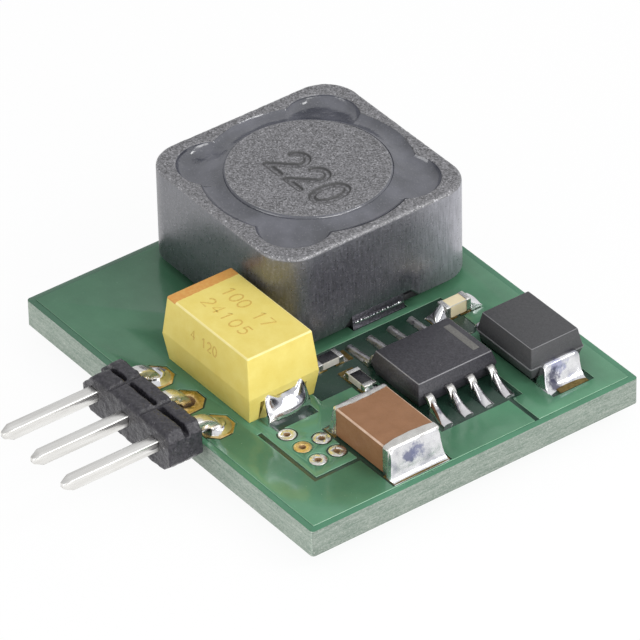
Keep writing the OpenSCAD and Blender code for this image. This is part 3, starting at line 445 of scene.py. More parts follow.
def loft(rings, closed=False):
    """Vertices and faces of a skin over closed rings of equal length. closed joins the last ring to the
    first, and otherwise both are capped."""
    rings = [np.asarray(r, float) for r in rings]
    n, m = len(rings[0]), len(rings)
    faces = []
    for i in range(m if closed else m - 1):
        a, b = i * n, (i + 1) % m * n
        faces += [(a + k, a + (k + 1) % n, b + (k + 1) % n, b + k) for k in range(n)]
    if not closed:
        faces += [tuple(range(n))[::-1], tuple(range((m - 1) * n, m * n))]
    return np.concatenate(rings), faces


def merge(parts):
    """Several meshes as one."""
    verts, faces, count = [], [], 0
    for part_verts, part_faces in parts:
        verts.append(part_verts)
        faces += [tuple(int(i) + count for i in f) for f in part_faces]
        count += len(part_verts)
    return np.concatenate(verts), faces


def slab(lo, hi):
    """A plain block between two corners."""
    x, y, z = zip(lo, hi)
    rings = [[(x[0], y[0], h), (x[1], y[0], h), (x[1], y[1], h), (x[0], y[1], h)] for h in z]
    return loft(rings)


def rect_ring(centre, half, r, steps=5, side=0):
    """The outline of a rectangle with round corners, in its own plane, with points along its sides."""
    corners = []
    for k, (sx, sy) in enumerate(((1, 1), (-1, 1), (-1, -1), (1, -1))):
        a = np.linspace(k * math.pi / 2, (k + 1) * math.pi / 2, steps)
        corners.append(np.stack([centre[0] + sx * (half[0] - r) + r * np.cos(a),
                                 centre[1] + sy * (half[1] - r) + r * np.sin(a)], 1))
    points = []
    for arc, following in zip(corners, corners[1:] + corners[:1]):
        points.append(arc)
        points.append(np.linspace(arc[-1], following[0], side + 2)[1:-1])
    return np.concatenate(points)


def ribbon(lines, width, depth, origin, u, v):
    """Printed strokes: thin raised strips along polylines in the plane of u and v."""
    origin, u, v = np.array(origin, float), np.array(u, float), np.array(v, float)
    u, v = u / np.linalg.norm(u), v / np.linalg.norm(v)
    out = np.cross(u, v)
    parts = []
    for line in lines:
        step = np.gradient(line, axis=0)
        side = np.stack([-step[:, 1], step[:, 0]], 1) / np.linalg.norm(step, axis=1)[:, None] * width / 2
        rings = []
        for k in range(len(line)):
            a, b = line[k] + side[k], line[k] - side[k]
            corners = ((a, -depth), (b, -depth), (b, depth), (a, depth))
            rings.append([origin + p[0] * u + p[1] * v + out * h for p, h in corners])
        parts.append(loft(rings))
    return merge(parts)


def smooth(points, rounds=3):
    """An open polyline with its corners cut again and again: smooth, and with the same ends."""
    points = np.array(points, float)
    for _ in range(rounds):
        a, b = points[:-1], points[1:]
        inner = np.stack([a * 0.75 + b * 0.25, a * 0.25 + b * 0.75], 1).reshape(-1, points.shape[1])
        points = np.concatenate([points[:1], inner[1:-1], points[-1:]])
    return points


# Profiles of solder joints, from the toe to the top: shares of the reach and of the height

HOLLOW = [(1, 0), (0.66, 0.03), (0.36, 0.14), (0.14, 0.42), (0.05, 0.75), (0, 1)]
DOME = [(1, 0), (0.94, 0.14), (0.8, 0.38), (0.56, 0.64), (0.28, 0.86), (0, 1)]
SLOPE = [(1, 0), (0.8, 0.12), (0.45, 0.42), (0.2, 0.72), (0, 1)]
BLOB = [(1, 0), (1.0, 0.18), (0.98, 0.38), (0.9, 0.54), (0.74, 0.65), (0.5, 0.76), (0.24, 0.88), (0, 1)]
COAT = [(1, 0), (0.72, 0.03), (0.46, 0.12), (0.34, 0.32), (0.26, 0.62), (0.14, 0.92), (0, 1)]
OVER_STEP = [(1, 0), (0.76, 0.07), (0.54, 0.27), (0.39, 0.58), (0.28, 0.9), (0.14, 0.99), (0, 1)]

END_ROUND = 0.3
SKIN = 0.02
NARROWING = 1.4
CROWN_POWER = 2.5
WAVE = 0.03
WAVE_RATE = 1.7
WAVE_RISE = 6
LEAST_Z = 0.001
FINE = 61


def fillet(at, side, foot, top, reach, height, profile, toe=0.0, back=0.04, crown=0.0, columns=25, seed=0.0,
           horn=None, ends=0.0, lean=0.0, along=0):
    """Solder that climbs a face. at is the middle of the face's foot. The face looks along X, or along Y if
    along is 1, up or down it as side is 1 or -1. foot and top are half widths. reach and height are functions
    of the place across, from -1 to 1. profile runs from the toe to the top in shares of both. toe is the
    height at the toe, and back is how far the solder goes into the face. crown lowers the sides, so that the
    joint is round across. horn adds to the height at some places across and out. ends is the share of the
    height that is lost where the two ends are rounded off. lean moves the top sideways."""
    c, s = (0, side) if along else (side, 0)
    curve = smooth(profile)
    rings = []
    for across in np.sin(np.linspace(-math.pi / 2, math.pi / 2, columns)):
        near_end = max(0.0, 1 - (1 - abs(across)) * foot / END_ROUND)
        r, h = reach(across), height(across) * (1 - ends * (1 - math.sqrt(1 - near_end ** 2)))
        path = [(-back, foot * across, 0.0), (r, foot * across, 0.0)]
        for out, climb in curve:
            x = r * out + SKIN * (1 - out)
            z = (toe + (h - toe) * climb) * (1 - crown * abs(across) ** CROWN_POWER)
            z += horn(across, x) if horn else 0.0
            y = across * (foot + (top - foot) * min(1.0, NARROWING * climb)) + lean * climb
            wave = noise_at(x * WAVE_RATE + seed, y * WAVE_RATE, z * WAVE_RATE + at[0]) * WAVE
            z += wave * (1 - climb) * min(1.0, WAVE_RISE * climb)
            path.append((x + wave * climb, y, max(z, LEAST_Z)))
        path.append((-back, path[-1][1], path[-1][2]))
        rings.append([(at[0] + x * c - y * s, at[1] + x * s + y * c, z) for x, y, z in path])
    return loft(rings)


def joint(node, shape, look, sharp=60):
    """Solder that stands for a joint of the CAD."""
    make_piece(node + "_fine", shape, look, (node,), sharp=sharp)


def even(value):
    return lambda across: value


def horned(value, rise, power=6):
    """A size that grows towards both sides."""
    return lambda across: value + rise * abs(across) ** power


# Looks

MASK = mask_look("mask_on_copper", (92, 144, 112), (82, 132, 102))
MASK_BARE = mask_look("mask_on_laminate", (40, 66, 54), (32, 56, 46))
LAMINATE = laminate_look("laminate_edge")
# The board's end faces: the same laminate dimmed, as painted shade.
LAMINATE_END_SHADED = laminate_look("laminate_end_painted_shade", 0.85)
# A paler mask for the pour's edges: a painted highlight.
MASK_EDGE_HIGHLIGHT = mask_look("mask_edge_painted_highlight", (150, 188, 162), (128, 172, 142))
MASK_MARGIN = mask_look("mask_margin", (76, 130, 100), (68, 120, 92))
BOARD_LOOKS = [MASK, MASK_BARE, LAMINATE, MASK_EDGE_HIGHLIGHT, MASK_MARGIN, LAMINATE_END_SHADED]
GILT_DULL = metal_look("gold_dull", (150, 130, 80), (112, 94, 52), 0.42, grain=5.0)
GOLD = metal_look("gold_plate", (232, 206, 150), (208, 176, 114), 0.34, grain=5.0)
PLATED_WALL = moulded_look("plated_wall", (156, 122, 86), (196, 164, 124), 0.4)
TIN = metal_look("tin_plate", (232, 231, 227), (206, 204, 200), 0.26, grain=2.0)
PIN = metal_look("pin_plate", (244, 243, 240), (220, 218, 214), 0.3, (4, 0.25, 4), grain=1.2, depth=0.005)
TIN_DULL = metal_look("tin_dull", (128, 126, 134), (84, 82, 90), 0.5, grain=9.0, depth=0.03)
SOLDER = solder_look("solder", 0.12)
SOLDER_FAR = solder_look("solder_far", 0.36, (226, 224, 224), 0.004)
RIGHT_LEADS = (5, 6, 7, 8)
lead_ends = [box("ic_lead_%d" % i)[1] for i in RIGHT_LEADS]
# Painted reflections: darker patches near the ends of the right leads.
SOLDER_LEAD = solder_look("solder_lead", 0.14, (232, 230, 232), 0.01, painted_reflections=[
    ((x - 0.16, y - 0.12, 0.3), 0.24, (104, 102, 118)) for x, y, z in lead_ends])
# Painted reflections: bluish and dark patches on the diode's joints.
SOLDER_DIODE = solder_look("solder_diode", 0.14, painted_reflections=(
    ((9.7, 6.75, 0.95), 0.4, (172, 174, 204)), ((10.2, 7.3, 0.3), 0.3, (190, 192, 206)),
    ((9.88, 6.35, 0.62), 0.3, (78, 78, 104)), ((10.15, 6.2, 0.25), 0.32, (66, 66, 92))))
# Painted reflections: bluish patches on the capacitor's joints.
SOLDER_MLCC = solder_look("solder_mlcc", 0.24, painted_reflections=(
    ((11.15, -3.42, 0.98), 0.34, (104, 108, 142)), ((11.15, -2.92, 1.02), 0.36, (130, 134, 164))))
HEADER_PLASTIC = moulded_look("header_plastic", (39, 38, 43), (66, 64, 70), 0.22, 6.0, 0.8, 0.04)
FERRITE_TOP = ferrite_look("ferrite_top", (24, 24, 28), (138, 137, 141), 15.0)
# Glossier ferrite for rounded rims, with paler greys and more glints: a painted highlight.
FERRITE_EDGE_HIGHLIGHT = ferrite_look("ferrite_edge_painted_highlight", (44, 44, 48), (130, 129, 133), 15.0, 0.34, 2.2, 0.8)
FERRITE_SIDE = ferrite_side_look()
RESIN = resin_look()
COPPER = metal_look("copper_wire", (190, 116, 70), (150, 84, 48), 0.35)
BASE_PLASTIC = moulded_look("base_plastic", (40, 40, 42), (56, 56, 58), 0.55)
CHIP_BLACK = moulded_look("chip_black", (46, 45, 50), (72, 71, 77), 0.42, 11.0, 0.5)
# Pale grey for the bevels of the chip's top edges: a painted highlight.
CHIP_EDGE_HIGHLIGHT = moulded_look("chip_edge_painted_highlight", (120, 119, 122), (150, 149, 152), 0.3, 24.0)
CHIP_BAR = moulded_look("chip_bar", (98, 97, 94), (122, 120, 116), 0.5, 12.0, 0.3)
DIODE_BLACK = moulded_look("diode_black", (62, 62, 64), (80, 80, 82), 0.5, 26.0)
# Pale grey for the diode's bevels and belt: a painted highlight.
DIODE_EDGE_HIGHLIGHT = moulded_look("diode_edge_painted_highlight", (112, 112, 114), (136, 136, 138), 0.35, 24.0)
CERAMIC_BROWN = ceramic_look("ceramic_brown", (149, 107, 75), (139, 98, 66), (170, 130, 98), 0.42)
# Pale ceramic for the bevels of the capacitor's top edges: a painted highlight.
CERAMIC_EDGE_HIGHLIGHT = ceramic_look("ceramic_edge_painted_highlight", (214, 186, 166), (196, 164, 140), (232, 212, 196), 0.3)
CERAMIC_BEIGE = ceramic_look("ceramic_beige", (246, 232, 196), (238, 222, 182), (250, 241, 216), 0.4)
ALUMINA = ceramic_look("alumina", (214, 211, 203), (198, 195, 186), (228, 226, 220), 0.5)
GLAZE = moulded_look("resistor_glaze", (34, 34, 38), (50, 50, 54), 0.28, 20.0)
INK = ink_look("tantalum_ink", (206, 168, 78), (224, 196, 108), 0.6)

BODY, EDGE = range(2)
EDGE_LOW = 0.45
EDGE_HIGH = 0.97


def edges(corners, normal):
    """Chooses the second look for the faces of broken edges: those that look up at a slant. On the chip,
    the diode and the larger capacitor that look is a paler one: a painted highlight.
    """
    return EDGE if EDGE_LOW < normal[2] < EDGE_HIGH else BODY


# Board, plated holes and vias

BOARD_HI = box("board")[1]
POUR_MARGIN = 0.355
POUR_FOOT_Z = 0.003
HOLE_FOOT_Z = 0.02
UNDERSIDE = -0.5
SLANTED = 0.3
FLAT = 0.98
END_ON = 0.7
RIM_W = 2.6
VIA_FIELD = ((4.3, -7.1), (8.3, -4.4))
PIN_FIELD = ((-5.5, -math.inf), (5.5, -6.0))
GILT_VIA = ((5.8, -math.inf), (6.9, -5.8))
ON_POUR, ON_BARE, CUT, POUR_EDGE, MARGIN, CUT_END = range(len(BOARD_LOOKS))
VIA_LOOKS = [TIN, GOLD, PLATED_WALL]
TINNED, GILT, WALL = range(len(VIA_LOOKS))


def within(field, x, y):
    (x0, y0), (x1, y1) = field
    return x0 < x < x1 and y0 < y < y1


def board_face(corners, normal):
    """Tells the pour, its edges, the gaps, the margins and the cut sides of the board apart. The pour's edges
    take a paler mask, a painted highlight.
    """
    x, y, z = corners.mean(axis=0)
    if normal[2] < UNDERSIDE:
        return ON_POUR
    if z > POUR_FOOT_Z:
        return ON_POUR if normal[2] > FLAT else POUR_EDGE
    if normal[2] > SLANTED:
        in_margin = abs(x) > BOARD_HI[0] - POUR_MARGIN or abs(y) > BOARD_HI[1] - POUR_MARGIN
        small = np.ptp(corners, axis=0).max() < RIM_W
        at_hole = small and (within(VIA_FIELD, x, y) or within(PIN_FIELD, x, y))
        return MARGIN if in_margin or at_hole else ON_BARE
    # End faces take the dimmed laminate: painted shade.
    return CUT_END if abs(normal[0]) > END_ON else CUT


def on_wall(corners, normal):
    """Tells the wall of a hole, which has the second look, from its rim."""
    return abs(normal[2]) < SLANTED and corners[:, 2].mean() < HOLE_FOOT_Z


def via_face(corners, normal):
    if on_wall(corners, normal):
        return WALL
    x, y, _ = corners.mean(axis=0)
    return GILT if within(GILT_VIA, x, y) else TINNED


MARGINS = [((side * (BOARD_HI[0] - POUR_MARGIN), 0, 0), (1, 0, 0)) for side in (-1, 1)]
MARGINS += [((0, side * (BOARD_HI[1] - POUR_MARGIN), 0), (0, 1, 0)) for side in (-1, 1)]
dress("board", BOARD_LOOKS, pick=board_face, cuts=MARGINS)
dress("plated_holes", [GOLD, PLATED_WALL], 0.015, pick=on_wall)
dress("vias", VIA_LOOKS, 0.04, 3, pick=via_face)

# Bare gilt pads that show round some joints

PAD_T = 0.035
PAD_SUNK = 0.01


def pad(name, x0, x1, y0, y1):
    make_piece("pad_" + name, slab((x0, y0, -PAD_SUNK), (x1, y1, PAD_T)), GILT_DULL)


def end_pad(name, x, y, side, back, out, low, high):
    """A pad at the end of a part: back under it and out from it in X, and from low to high in Y."""
    pad(name, *sorted((x - side * back, x + side * out)), y + low, y + high)


# Pin header

soften("header_insulator", HEADER_PLASTIC, cell=0.05, rounds=10, uneven=0.045)
for i in (1, 2, 3):
    dress("header_pin_%d" % i, PIN, 0.06, 3)
    dress("header_solder_%d" % i, SOLDER, 0.02)

# Inductor

shield_lo, shield_hi = box("inductor_shield")
drum_lo, drum_hi = box("inductor_drum")
resin_lo, resin_hi = box("inductor_resin")
CENTRE = (shield_lo + shield_hi) / 2
HALF = (shield_hi[0] - shield_lo[0]) / 2
RIM = shield_hi[2]
DRUM_R = (drum_hi[0] - drum_lo[0]) / 2
SHIELD_CORNER = 1.9
SHIELD_WALL = 0.55
EAR_R = 1.93
EAR_WALL = 1.02
RIM_ROUND = 0.2
MOUTH_ROUND = 0.1
NOTCH_W = 4.7
NOTCH_H = 0.5
TURN = np.linspace(0, 2 * math.pi, 720, endpoint=False)


def outer_radius(angle):
    """Distance from the middle to the rounded square outline of the shield."""
    c, s = np.abs(np.cos(angle)), np.abs(np.sin(angle))
    flat = HALF / np.maximum(c, s)
    k = HALF - SHIELD_CORNER
    along = k * (c + s)
    root = np.sqrt(np.maximum(along ** 2 - 2 * k * k + SHIELD_CORNER ** 2, 0))
    in_corner = flat * np.minimum(c, s) > k
    return np.where(in_corner, along + root, flat)


def mouth_radius(angle):
    """Distance from the middle to the opening: a circle with an ear in each corner."""
    reach = math.sqrt(2) * (HALF - SHIELD_CORNER) + SHIELD_CORNER - EAR_WALL - EAR_R
    off = np.abs((angle % (math.pi / 2)) - math.pi / 4)
    side = reach * np.sin(off)
    ear = reach * np.cos(off) + np.sqrt(np.maximum(EAR_R ** 2 - side ** 2, 0))
    return np.where(side < EAR_R, np.maximum(HALF - SHIELD_WALL, ear), HALF - SHIELD_WALL)


OUTER = outer_radius(TURN)
MOUTH = mouth_radius(TURN)


def around(radius, z):
    """A ring about the inductor's axis."""
    z = np.broadcast_to(np.asarray(z, float), TURN.shape)
    return np.stack([CENTRE[0] + radius * np.cos(TURN), CENTRE[1] + radius * np.sin(TURN), z], 1)


FOOT_ROUND = 0.06
RIM_WEAR = 0.02
SHIELD_LOOKS = [FERRITE_SIDE, FERRITE_TOP, RESIN, FERRITE_EDGE_HIGHLIGHT]
SIDE, TOP, WET, RIM_HIGHLIGHT = range(len(SHIELD_LOOKS))
# The rounded outer rim takes the pale, glossier ferrite: a painted highlight.
SHIELD_BANDS = [SIDE] * 5 + [RIM_HIGHLIGHT] * 4 + [TOP] * 5 + [WET] * 2 + [SIDE] * 2


def shield_rings():
    """Rings up the outside, over the rim, dented by wear, and down the inside. Two sides have a notch at the
    foot.
    """
    foot = np.full(TURN.shape, shield_lo[2])
    notched = np.abs(np.cos(TURN)) > np.abs(np.sin(TURN))
    away = np.abs(OUTER * np.sin(TURN))
    foot += np.where(notched, np.clip(NOTCH_W / 2 - away, 0, NOTCH_H), 0)
    wear = np.array([noise_at(a * 14, 0, 0) * 0.5 + noise_at(a * 45, 3, 0) * 0.5 for a in TURN])
    rings = [around(OUTER - FOOT_ROUND, foot), around(OUTER, foot + FOOT_ROUND)]
    rings += [around(OUTER, foot * (1 - t) + (RIM - RIM_ROUND) * t) for t in (0.4, 0.8)]
    for a in np.radians((0, 18, 36, 54, 72, 90)):
        dent = wear * RIM_WEAR * np.sin(2 * a)
        rings.append(around(OUTER - RIM_ROUND * (1 - np.cos(a)) - dent,
                            RIM - RIM_ROUND * (1 - np.sin(a)) - dent))
    for t in (0.33, 0.67):
        rings.append(around((OUTER - RIM_ROUND) * (1 - t) + (MOUTH + MOUTH_ROUND) * t, RIM))
    for a in np.radians((90, 60, 30, 0)):
        rings.append(around(MOUTH + MOUTH_ROUND * (1 - np.cos(a)), RIM - MOUTH_ROUND * (1 - np.sin(a))))
    return rings + [around(MOUTH, resin_lo[2]), around(MOUTH, foot)]


make_piece("inductor_shield_fine", loft(shield_rings(), closed=True), SHIELD_LOOKS,
           ("inductor_shield",), np.repeat(SHIELD_BANDS, len(TURN)), sharp=50)

# Drum disc with an engraved number

STROKE = {
    "0": [[(0.5 + 0.5 * math.sin(a), 0.5 + 0.5 * math.cos(a)) for a in np.linspace(0, 2 * math.pi, 33)]],
    "1": [[(0.15, 0.76), (0.5, 1.0), (0.5, 0.0)]],
    "2": [[(0.5 - 0.48 * math.cos(a), 0.7 + 0.3 * math.sin(a)) for a in np.linspace(0.2, 3.5, 17)]
          + [(0.0, 0.0), (1.0, 0.0)]],
    "4": [[(0.72, 0.0), (0.72, 1.0), (0.0, 0.3), (1.0, 0.3)]],
    "5": [[(0.92, 1.0), (0.16, 1.0), (0.08, 0.56)]
          + [(0.46 + 0.5 * math.sin(a), 0.33 + 0.33 * math.cos(a)) for a in np.linspace(-0.6, 4.0, 17)]],
    "7": [[(0.0, 1.0), (1.0, 1.0), (0.4, 0.0)]],
}


def stroke_lines(text, corner, size, pitch, slant=0.0):
    """The strokes of a row of digits as polylines. size is a digit's width and height."""
    lines = []
    for k, digit in enumerate(text):
        for line in STROKE.get(digit, []):
            p = np.array(line)
            lines.append(np.stack([corner[0] + k * pitch + p[:, 0] * size[0] + p[:, 1] * slant,
                                   corner[1] + p[:, 1] * size[1]], 1))
    return lines


def line_distance(points, lines):
    """The distance from each point to the nearest stroke."""
    best = np.full(len(points), 1e9)
    for line in lines:
        for a, b in zip(line[:-1], line[1:]):
            d = b - a
            t = np.clip(((points - a) @ d) / (d @ d), 0, 1)
            best = np.minimum(best, np.linalg.norm(points - a - t[:, None] * d, axis=1))
    return best


DISC_EDGE = 0.16
DISC_NUMBER = "220"
DISC_CORNER = (-1.55, -1.45)
DISC_DIGIT = (1.1, 1.95)
DISC_PITCH = 1.68
DISC_SLANT = 0.12
BAND_HALF = 0.15
BAND_DEPTH = 0.07
BAND_EDGE = 0.07
SUNK_SHADE = 0.15
DISC_STEP = 0.03


def disc_top():
    """The disc's top as a fine grid cut to a circle, with the number sunk into it."""
    r = DRUM_R - DISC_EDGE
    n = int(2 * r / DISC_STEP)
    axis = np.linspace(-1, 1, n + 1)
    gx, gy = np.meshgrid(axis, axis, indexing="ij")
    x = gx * np.sqrt(1 - gy ** 2 / 2) * r
    y = gy * np.sqrt(1 - gx ** 2 / 2) * r
    flat = np.stack([x.ravel(), y.ravel()], 1)
    lines = stroke_lines(DISC_NUMBER, DISC_CORNER, DISC_DIGIT, DISC_PITCH, DISC_SLANT)
    away = line_distance(flat, lines)
    sunk = np.clip((BAND_HALF + BAND_EDGE / 2 - away) / BAND_EDGE, 0, 1)
    z = drum_hi[2] - BAND_DEPTH * sunk * sunk * (3 - 2 * sunk)
    # Painted shade: dark along the walls of the sunk number, and a little on its floor.
    painted_groove_shade = np.exp(-((away - BAND_HALF) / BAND_EDGE) ** 2) + SUNK_SHADE * sunk
    verts = np.column_stack([flat + CENTRE[:2], z])
    k = np.arange((n + 1) ** 2).reshape(n + 1, n + 1)
    faces = np.stack([k[:-1, :-1], k[1:, :-1], k[1:, 1:], k[:-1, 1:]], -1).reshape(-1, 4)
    border = np.concatenate([k[:-1, 0], k[-1, :-1], k[:0:-1, -1], k[0, :0:-1]])
    return verts, faces.tolist(), border, painted_groove_shade


verts, faces, border, painted_groove_shade = disc_top()
top_faces = len(faces)
edge = verts[border] - np.array([CENTRE[0], CENTRE[1], 0])
length = np.linalg.norm(edge[:, :2], axis=1)[:, None]
loops = [border]
verts = [verts]
count = len(verts[0])
drop = [(DISC_EDGE * math.sin(a), DISC_EDGE * (1 - math.cos(a))) for a in np.radians((22, 45, 68, 90))]
drop += [(DISC_EDGE, drum_hi[2] - resin_lo[2]), (DISC_EDGE, drum_hi[2] - drum_lo[2])]
for out, down in drop:
    ring = np.column_stack([edge[:, :2] / length * (DRUM_R - DISC_EDGE + out) + CENTRE[:2],
                            np.full(len(border), drum_hi[2] - down)])
    verts.append(ring)
    loops.append(np.arange(count, count + len(border)))
    count += len(border)
for a, b in zip(loops[:-1], loops[1:]):
    faces += [(a[k], a[(k + 1) % len(a)], b[(k + 1) % len(a)], b[k]) for k in range(len(a))]
faces.append(tuple(loops[-1]))
verts = np.concatenate(verts)
painted_groove_shade = np.concatenate([painted_groove_shade, np.zeros(len(verts) - len(painted_groove_shade))])
# The disc's rounded rim takes the pale ferrite, a painted highlight; the rings below it are wetted by resin.
DISC_LOOKS = [FERRITE_TOP, FERRITE_EDGE_HIGHLIGHT, RESIN]
ON_DISC, ON_RIM_HIGHLIGHT, IN_RESIN = range(len(DISC_LOOKS))
rim_looks = np.repeat((ON_RIM_HIGHLIGHT, IN_RESIN, IN_RESIN, IN_RESIN), len(border))
face_looks = np.full(len(faces), ON_DISC)
face_looks[top_faces:top_faces + len(rim_looks)] = rim_looks
make_piece("inductor_drum_fine", (verts, faces), DISC_LOOKS, ("inductor_drum",), face_looks,
           sharp=60, attributes={"painted_groove_shade": painted_groove_shade})

# Resin, with a meniscus against the shield and the drum, lower in the ears

MENISCUS = 0.24
MENISCUS_W = 0.2
INNER_CLIMB = 1.1
INNER_WIDE = 2.2
INNER_FALL = 1.4
EAR_SINK = 0.3
EAR_CLIMB = 0.14
RESIN_LOW = 0.1
RESIN_TILT = 0.05
RESIN_WAVE = 0.035
RESIN_WAVE_RATE = 0.7
RESIN_STEPS = 31


def resin_rings():
    """Rings over the top of the resin, from the shield in to the drum."""
    rings = [around(MOUTH, resin_lo[2])]
    ear = np.clip(MOUTH - (HALF - SHIELD_WALL), 0, 1)
    for t in np.linspace(1, 0, RESIN_STEPS):
        r = DRUM_R + (MOUTH - DRUM_R) * t
        climb = (MENISCUS + EAR_CLIMB * ear) * np.exp(-(MOUTH - r) / MENISCUS_W)
        climb += MENISCUS * INNER_CLIMB * np.exp(-((r - DRUM_R) / (MENISCUS_W * INNER_WIDE)) ** INNER_FALL)
        level = resin_hi[2] - RESIN_LOW + RESIN_TILT * np.sin(TURN) - EAR_SINK * ear * t * t * (3 - 2 * t)
        wave = np.array([noise_at(*(p * RESIN_WAVE_RATE)) for p in around(r, 0.0)]) * RESIN_WAVE
        rings.append(around(r, level + climb + wave))
    rings.append(around(np.full(TURN.shape, DRUM_R), resin_lo[2]))
    return rings


shape = loft(resin_rings(), closed=True)
make_piece("inductor_resin_fine", shape, RESIN, ("inductor_resin",), sharp=50)

for node, look, slot in (
        ("winding", COPPER, "copper"), ("base", BASE_PLASTIC, "base_plastic"),
        ("terminal_left", TIN_DULL, "tin"), ("terminal_right", TIN_DULL, "tin"),
        ("solder_left", TIN_DULL, "solder"), ("solder_right", TIN_DULL, "solder")):
    dress("inductor_" + node, look)

# Ragged beads of solder along the inductor's terminals

BEAD_Z = 0.4
BEAD_INSET = 0.06
BEAD_SUNK = 0.02
BEAD_SWAY = 0.04
BEAD_TALL = 0.028
BEAD_DEEP = 0.012
CRUMB_TALL = 0.08
CRUMB_DEEP = 0.03
BEAD_STEPS = 201


def crumbs(y, side, rate, row, bias):
    """An uneven measure along a bead, which is nought in places."""
    return max(0.0, noise_at(y * rate, side, row) + bias)


for name, side in (("left", -1), ("right", 1)):
    lo, hi = box("inductor_solder_" + name)
    face = hi[0] if side > 0 else lo[0]
    inner = face - side * BEAD_SUNK
    rings = []
    for y in np.linspace(lo[1] + BEAD_INSET, hi[1] - BEAD_INSET, BEAD_STEPS):
        z = BEAD_Z + BEAD_SWAY * noise_at(y * 2.0, side, 0)
        tall = BEAD_TALL + CRUMB_TALL * crumbs(y, side, 9.0, 4.0, 0.25)
        outer = face + side * (BEAD_DEEP + CRUMB_DEEP * crumbs(y, side, 15.0, 8.0, 0.2))
        rings.append([(inner, y, z - tall), (outer, y, z - tall / 2),
                      (outer, y, z + tall / 2), (inner, y, z + tall)])
    make_piece("inductor_bead_" + name, loft(rings), SOLDER)

# Tantalum capacitor

case_lo, case_hi = box("tantalum_case")
case_mid = (case_lo + case_hi) / 2
BAND_W = 1.0
BAND_X = case_lo[0] + BAND_W
BAND_DROP = 0.12
TANTALUM = tantalum_look(BAND_X, ORIGIN[2] / MM + case_hi[2] - BAND_DROP)
# A paler yellow for the bevels of the case's top edges: a painted highlight.
TANTALUM_EDGE_HIGHLIGHT = ceramic_look("tantalum_edge_painted_highlight", (245, 232, 164), (239, 223, 146), (250, 243, 196), 0.36)
CASE_EDGE_LOW = 0.25
CASE_EDGE_HIGH = 0.985
CASE_TOP_EDGE = 0.05


def tantalum_face(corners, normal):
    in_band = corners[:, 0].mean() < BAND_X
    # Bevel faces outside the band take the paler yellow: a painted highlight.
    return EDGE if CASE_EDGE_LOW < normal[2] < CASE_EDGE_HIGH and not in_band else BODY


dress("tantalum_case", [TANTALUM, TANTALUM_EDGE_HIGHLIGHT], 0.08, 3, sharp=5, pick=tantalum_face,
      cuts=[((BAND_X, 0, 0), (1, 0, 0))], only=lambda a, b: max(a[2], b[2]) > case_hi[2] - CASE_TOP_EDGE)

INK_W = 0.09
INK_H = 0.006
INK_SLANT = 0.05
TOP_DIGIT_W = 0.46
rows = []
for digits, x, y, tall, pitch in (("100 17", -2.0, 0.28, 0.72, 0.64), ("24105", -1.9, -0.98, 0.68, 0.74)):
    rows += stroke_lines(digits, (case_mid[0] + x, case_mid[1] + y), (TOP_DIGIT_W, tall), pitch, INK_SLANT)
shape = ribbon(rows, INK_W, INK_H, (0, 0, case_hi[2]), (1, 0, 0), (0, 1, 0))
make_piece("tantalum_print_top", shape, INK)
FRONT_LEAN = (0, 0.17, 2.25)
FRONT_FOOT_Z = 1.65
FRONT_ROW_Z = 2.6
FRONT_ROW_X = -1.38
FRONT_DIGIT = (0.3, 0.54)
FRONT_PITCH = 0.45
rows = stroke_lines("4 120", (FRONT_ROW_X, 0.0), FRONT_DIGIT, FRONT_PITCH)
lean = FRONT_LEAN[1] / FRONT_LEAN[2] * (FRONT_ROW_Z - FRONT_FOOT_Z)
shape = ribbon(rows, INK_W, INK_H, (0, case_lo[1] + lean, FRONT_ROW_Z), (1, 0, 0), FRONT_LEAN)
make_piece("tantalum_print_front", shape, INK)

cathode_lo, cathode_hi = box("tantalum_cathode")
TERMINAL_HALF = (cathode_hi[1] - cathode_lo[1]) / 2
TANTALUM_ENDS = [("anode", box("tantalum_anode")[0][0], -1), ("cathode", cathode_hi[0], 1)]


def tantalum_horns(across, out):
    """Two lobes where the solder has climbed the sides of the terminal, up to just outside the case."""
    near = 0.42 * math.exp(-((across + 0.8) / 0.36) ** 2)
    far = 0.6 * math.exp(-((across - 0.78) / 0.28) ** 2)
    return (0.14 + near + far) * math.exp(-(max(0.0, out - 0.33) / 0.22) ** 2)


def tantalum_reach(across):
    """How far the solder runs out: least at the side where the pad is narrow."""
    return 0.94 - (0.1 if across < 0 else 0.4) * abs(across) ** 2.2


for end, x, side in TANTALUM_ENDS:
    dress("tantalum_" + end, TIN, 0.02)
    shape = fillet((x, case_mid[1]), side, TERMINAL_HALF + 0.2, TERMINAL_HALF + 0.04, tantalum_reach,
                   even(1.06), BLOB, columns=FINE, seed=2.0, horn=tantalum_horns, ends=0.25)
    joint("tantalum_solder_" + end, shape, SOLDER)
for end, x, side in reversed(TANTALUM_ENDS):
    end_pad(end, x, case_mid[1], side, 0.3, 0.66, -1.2, 1.2)

# Regulator chip

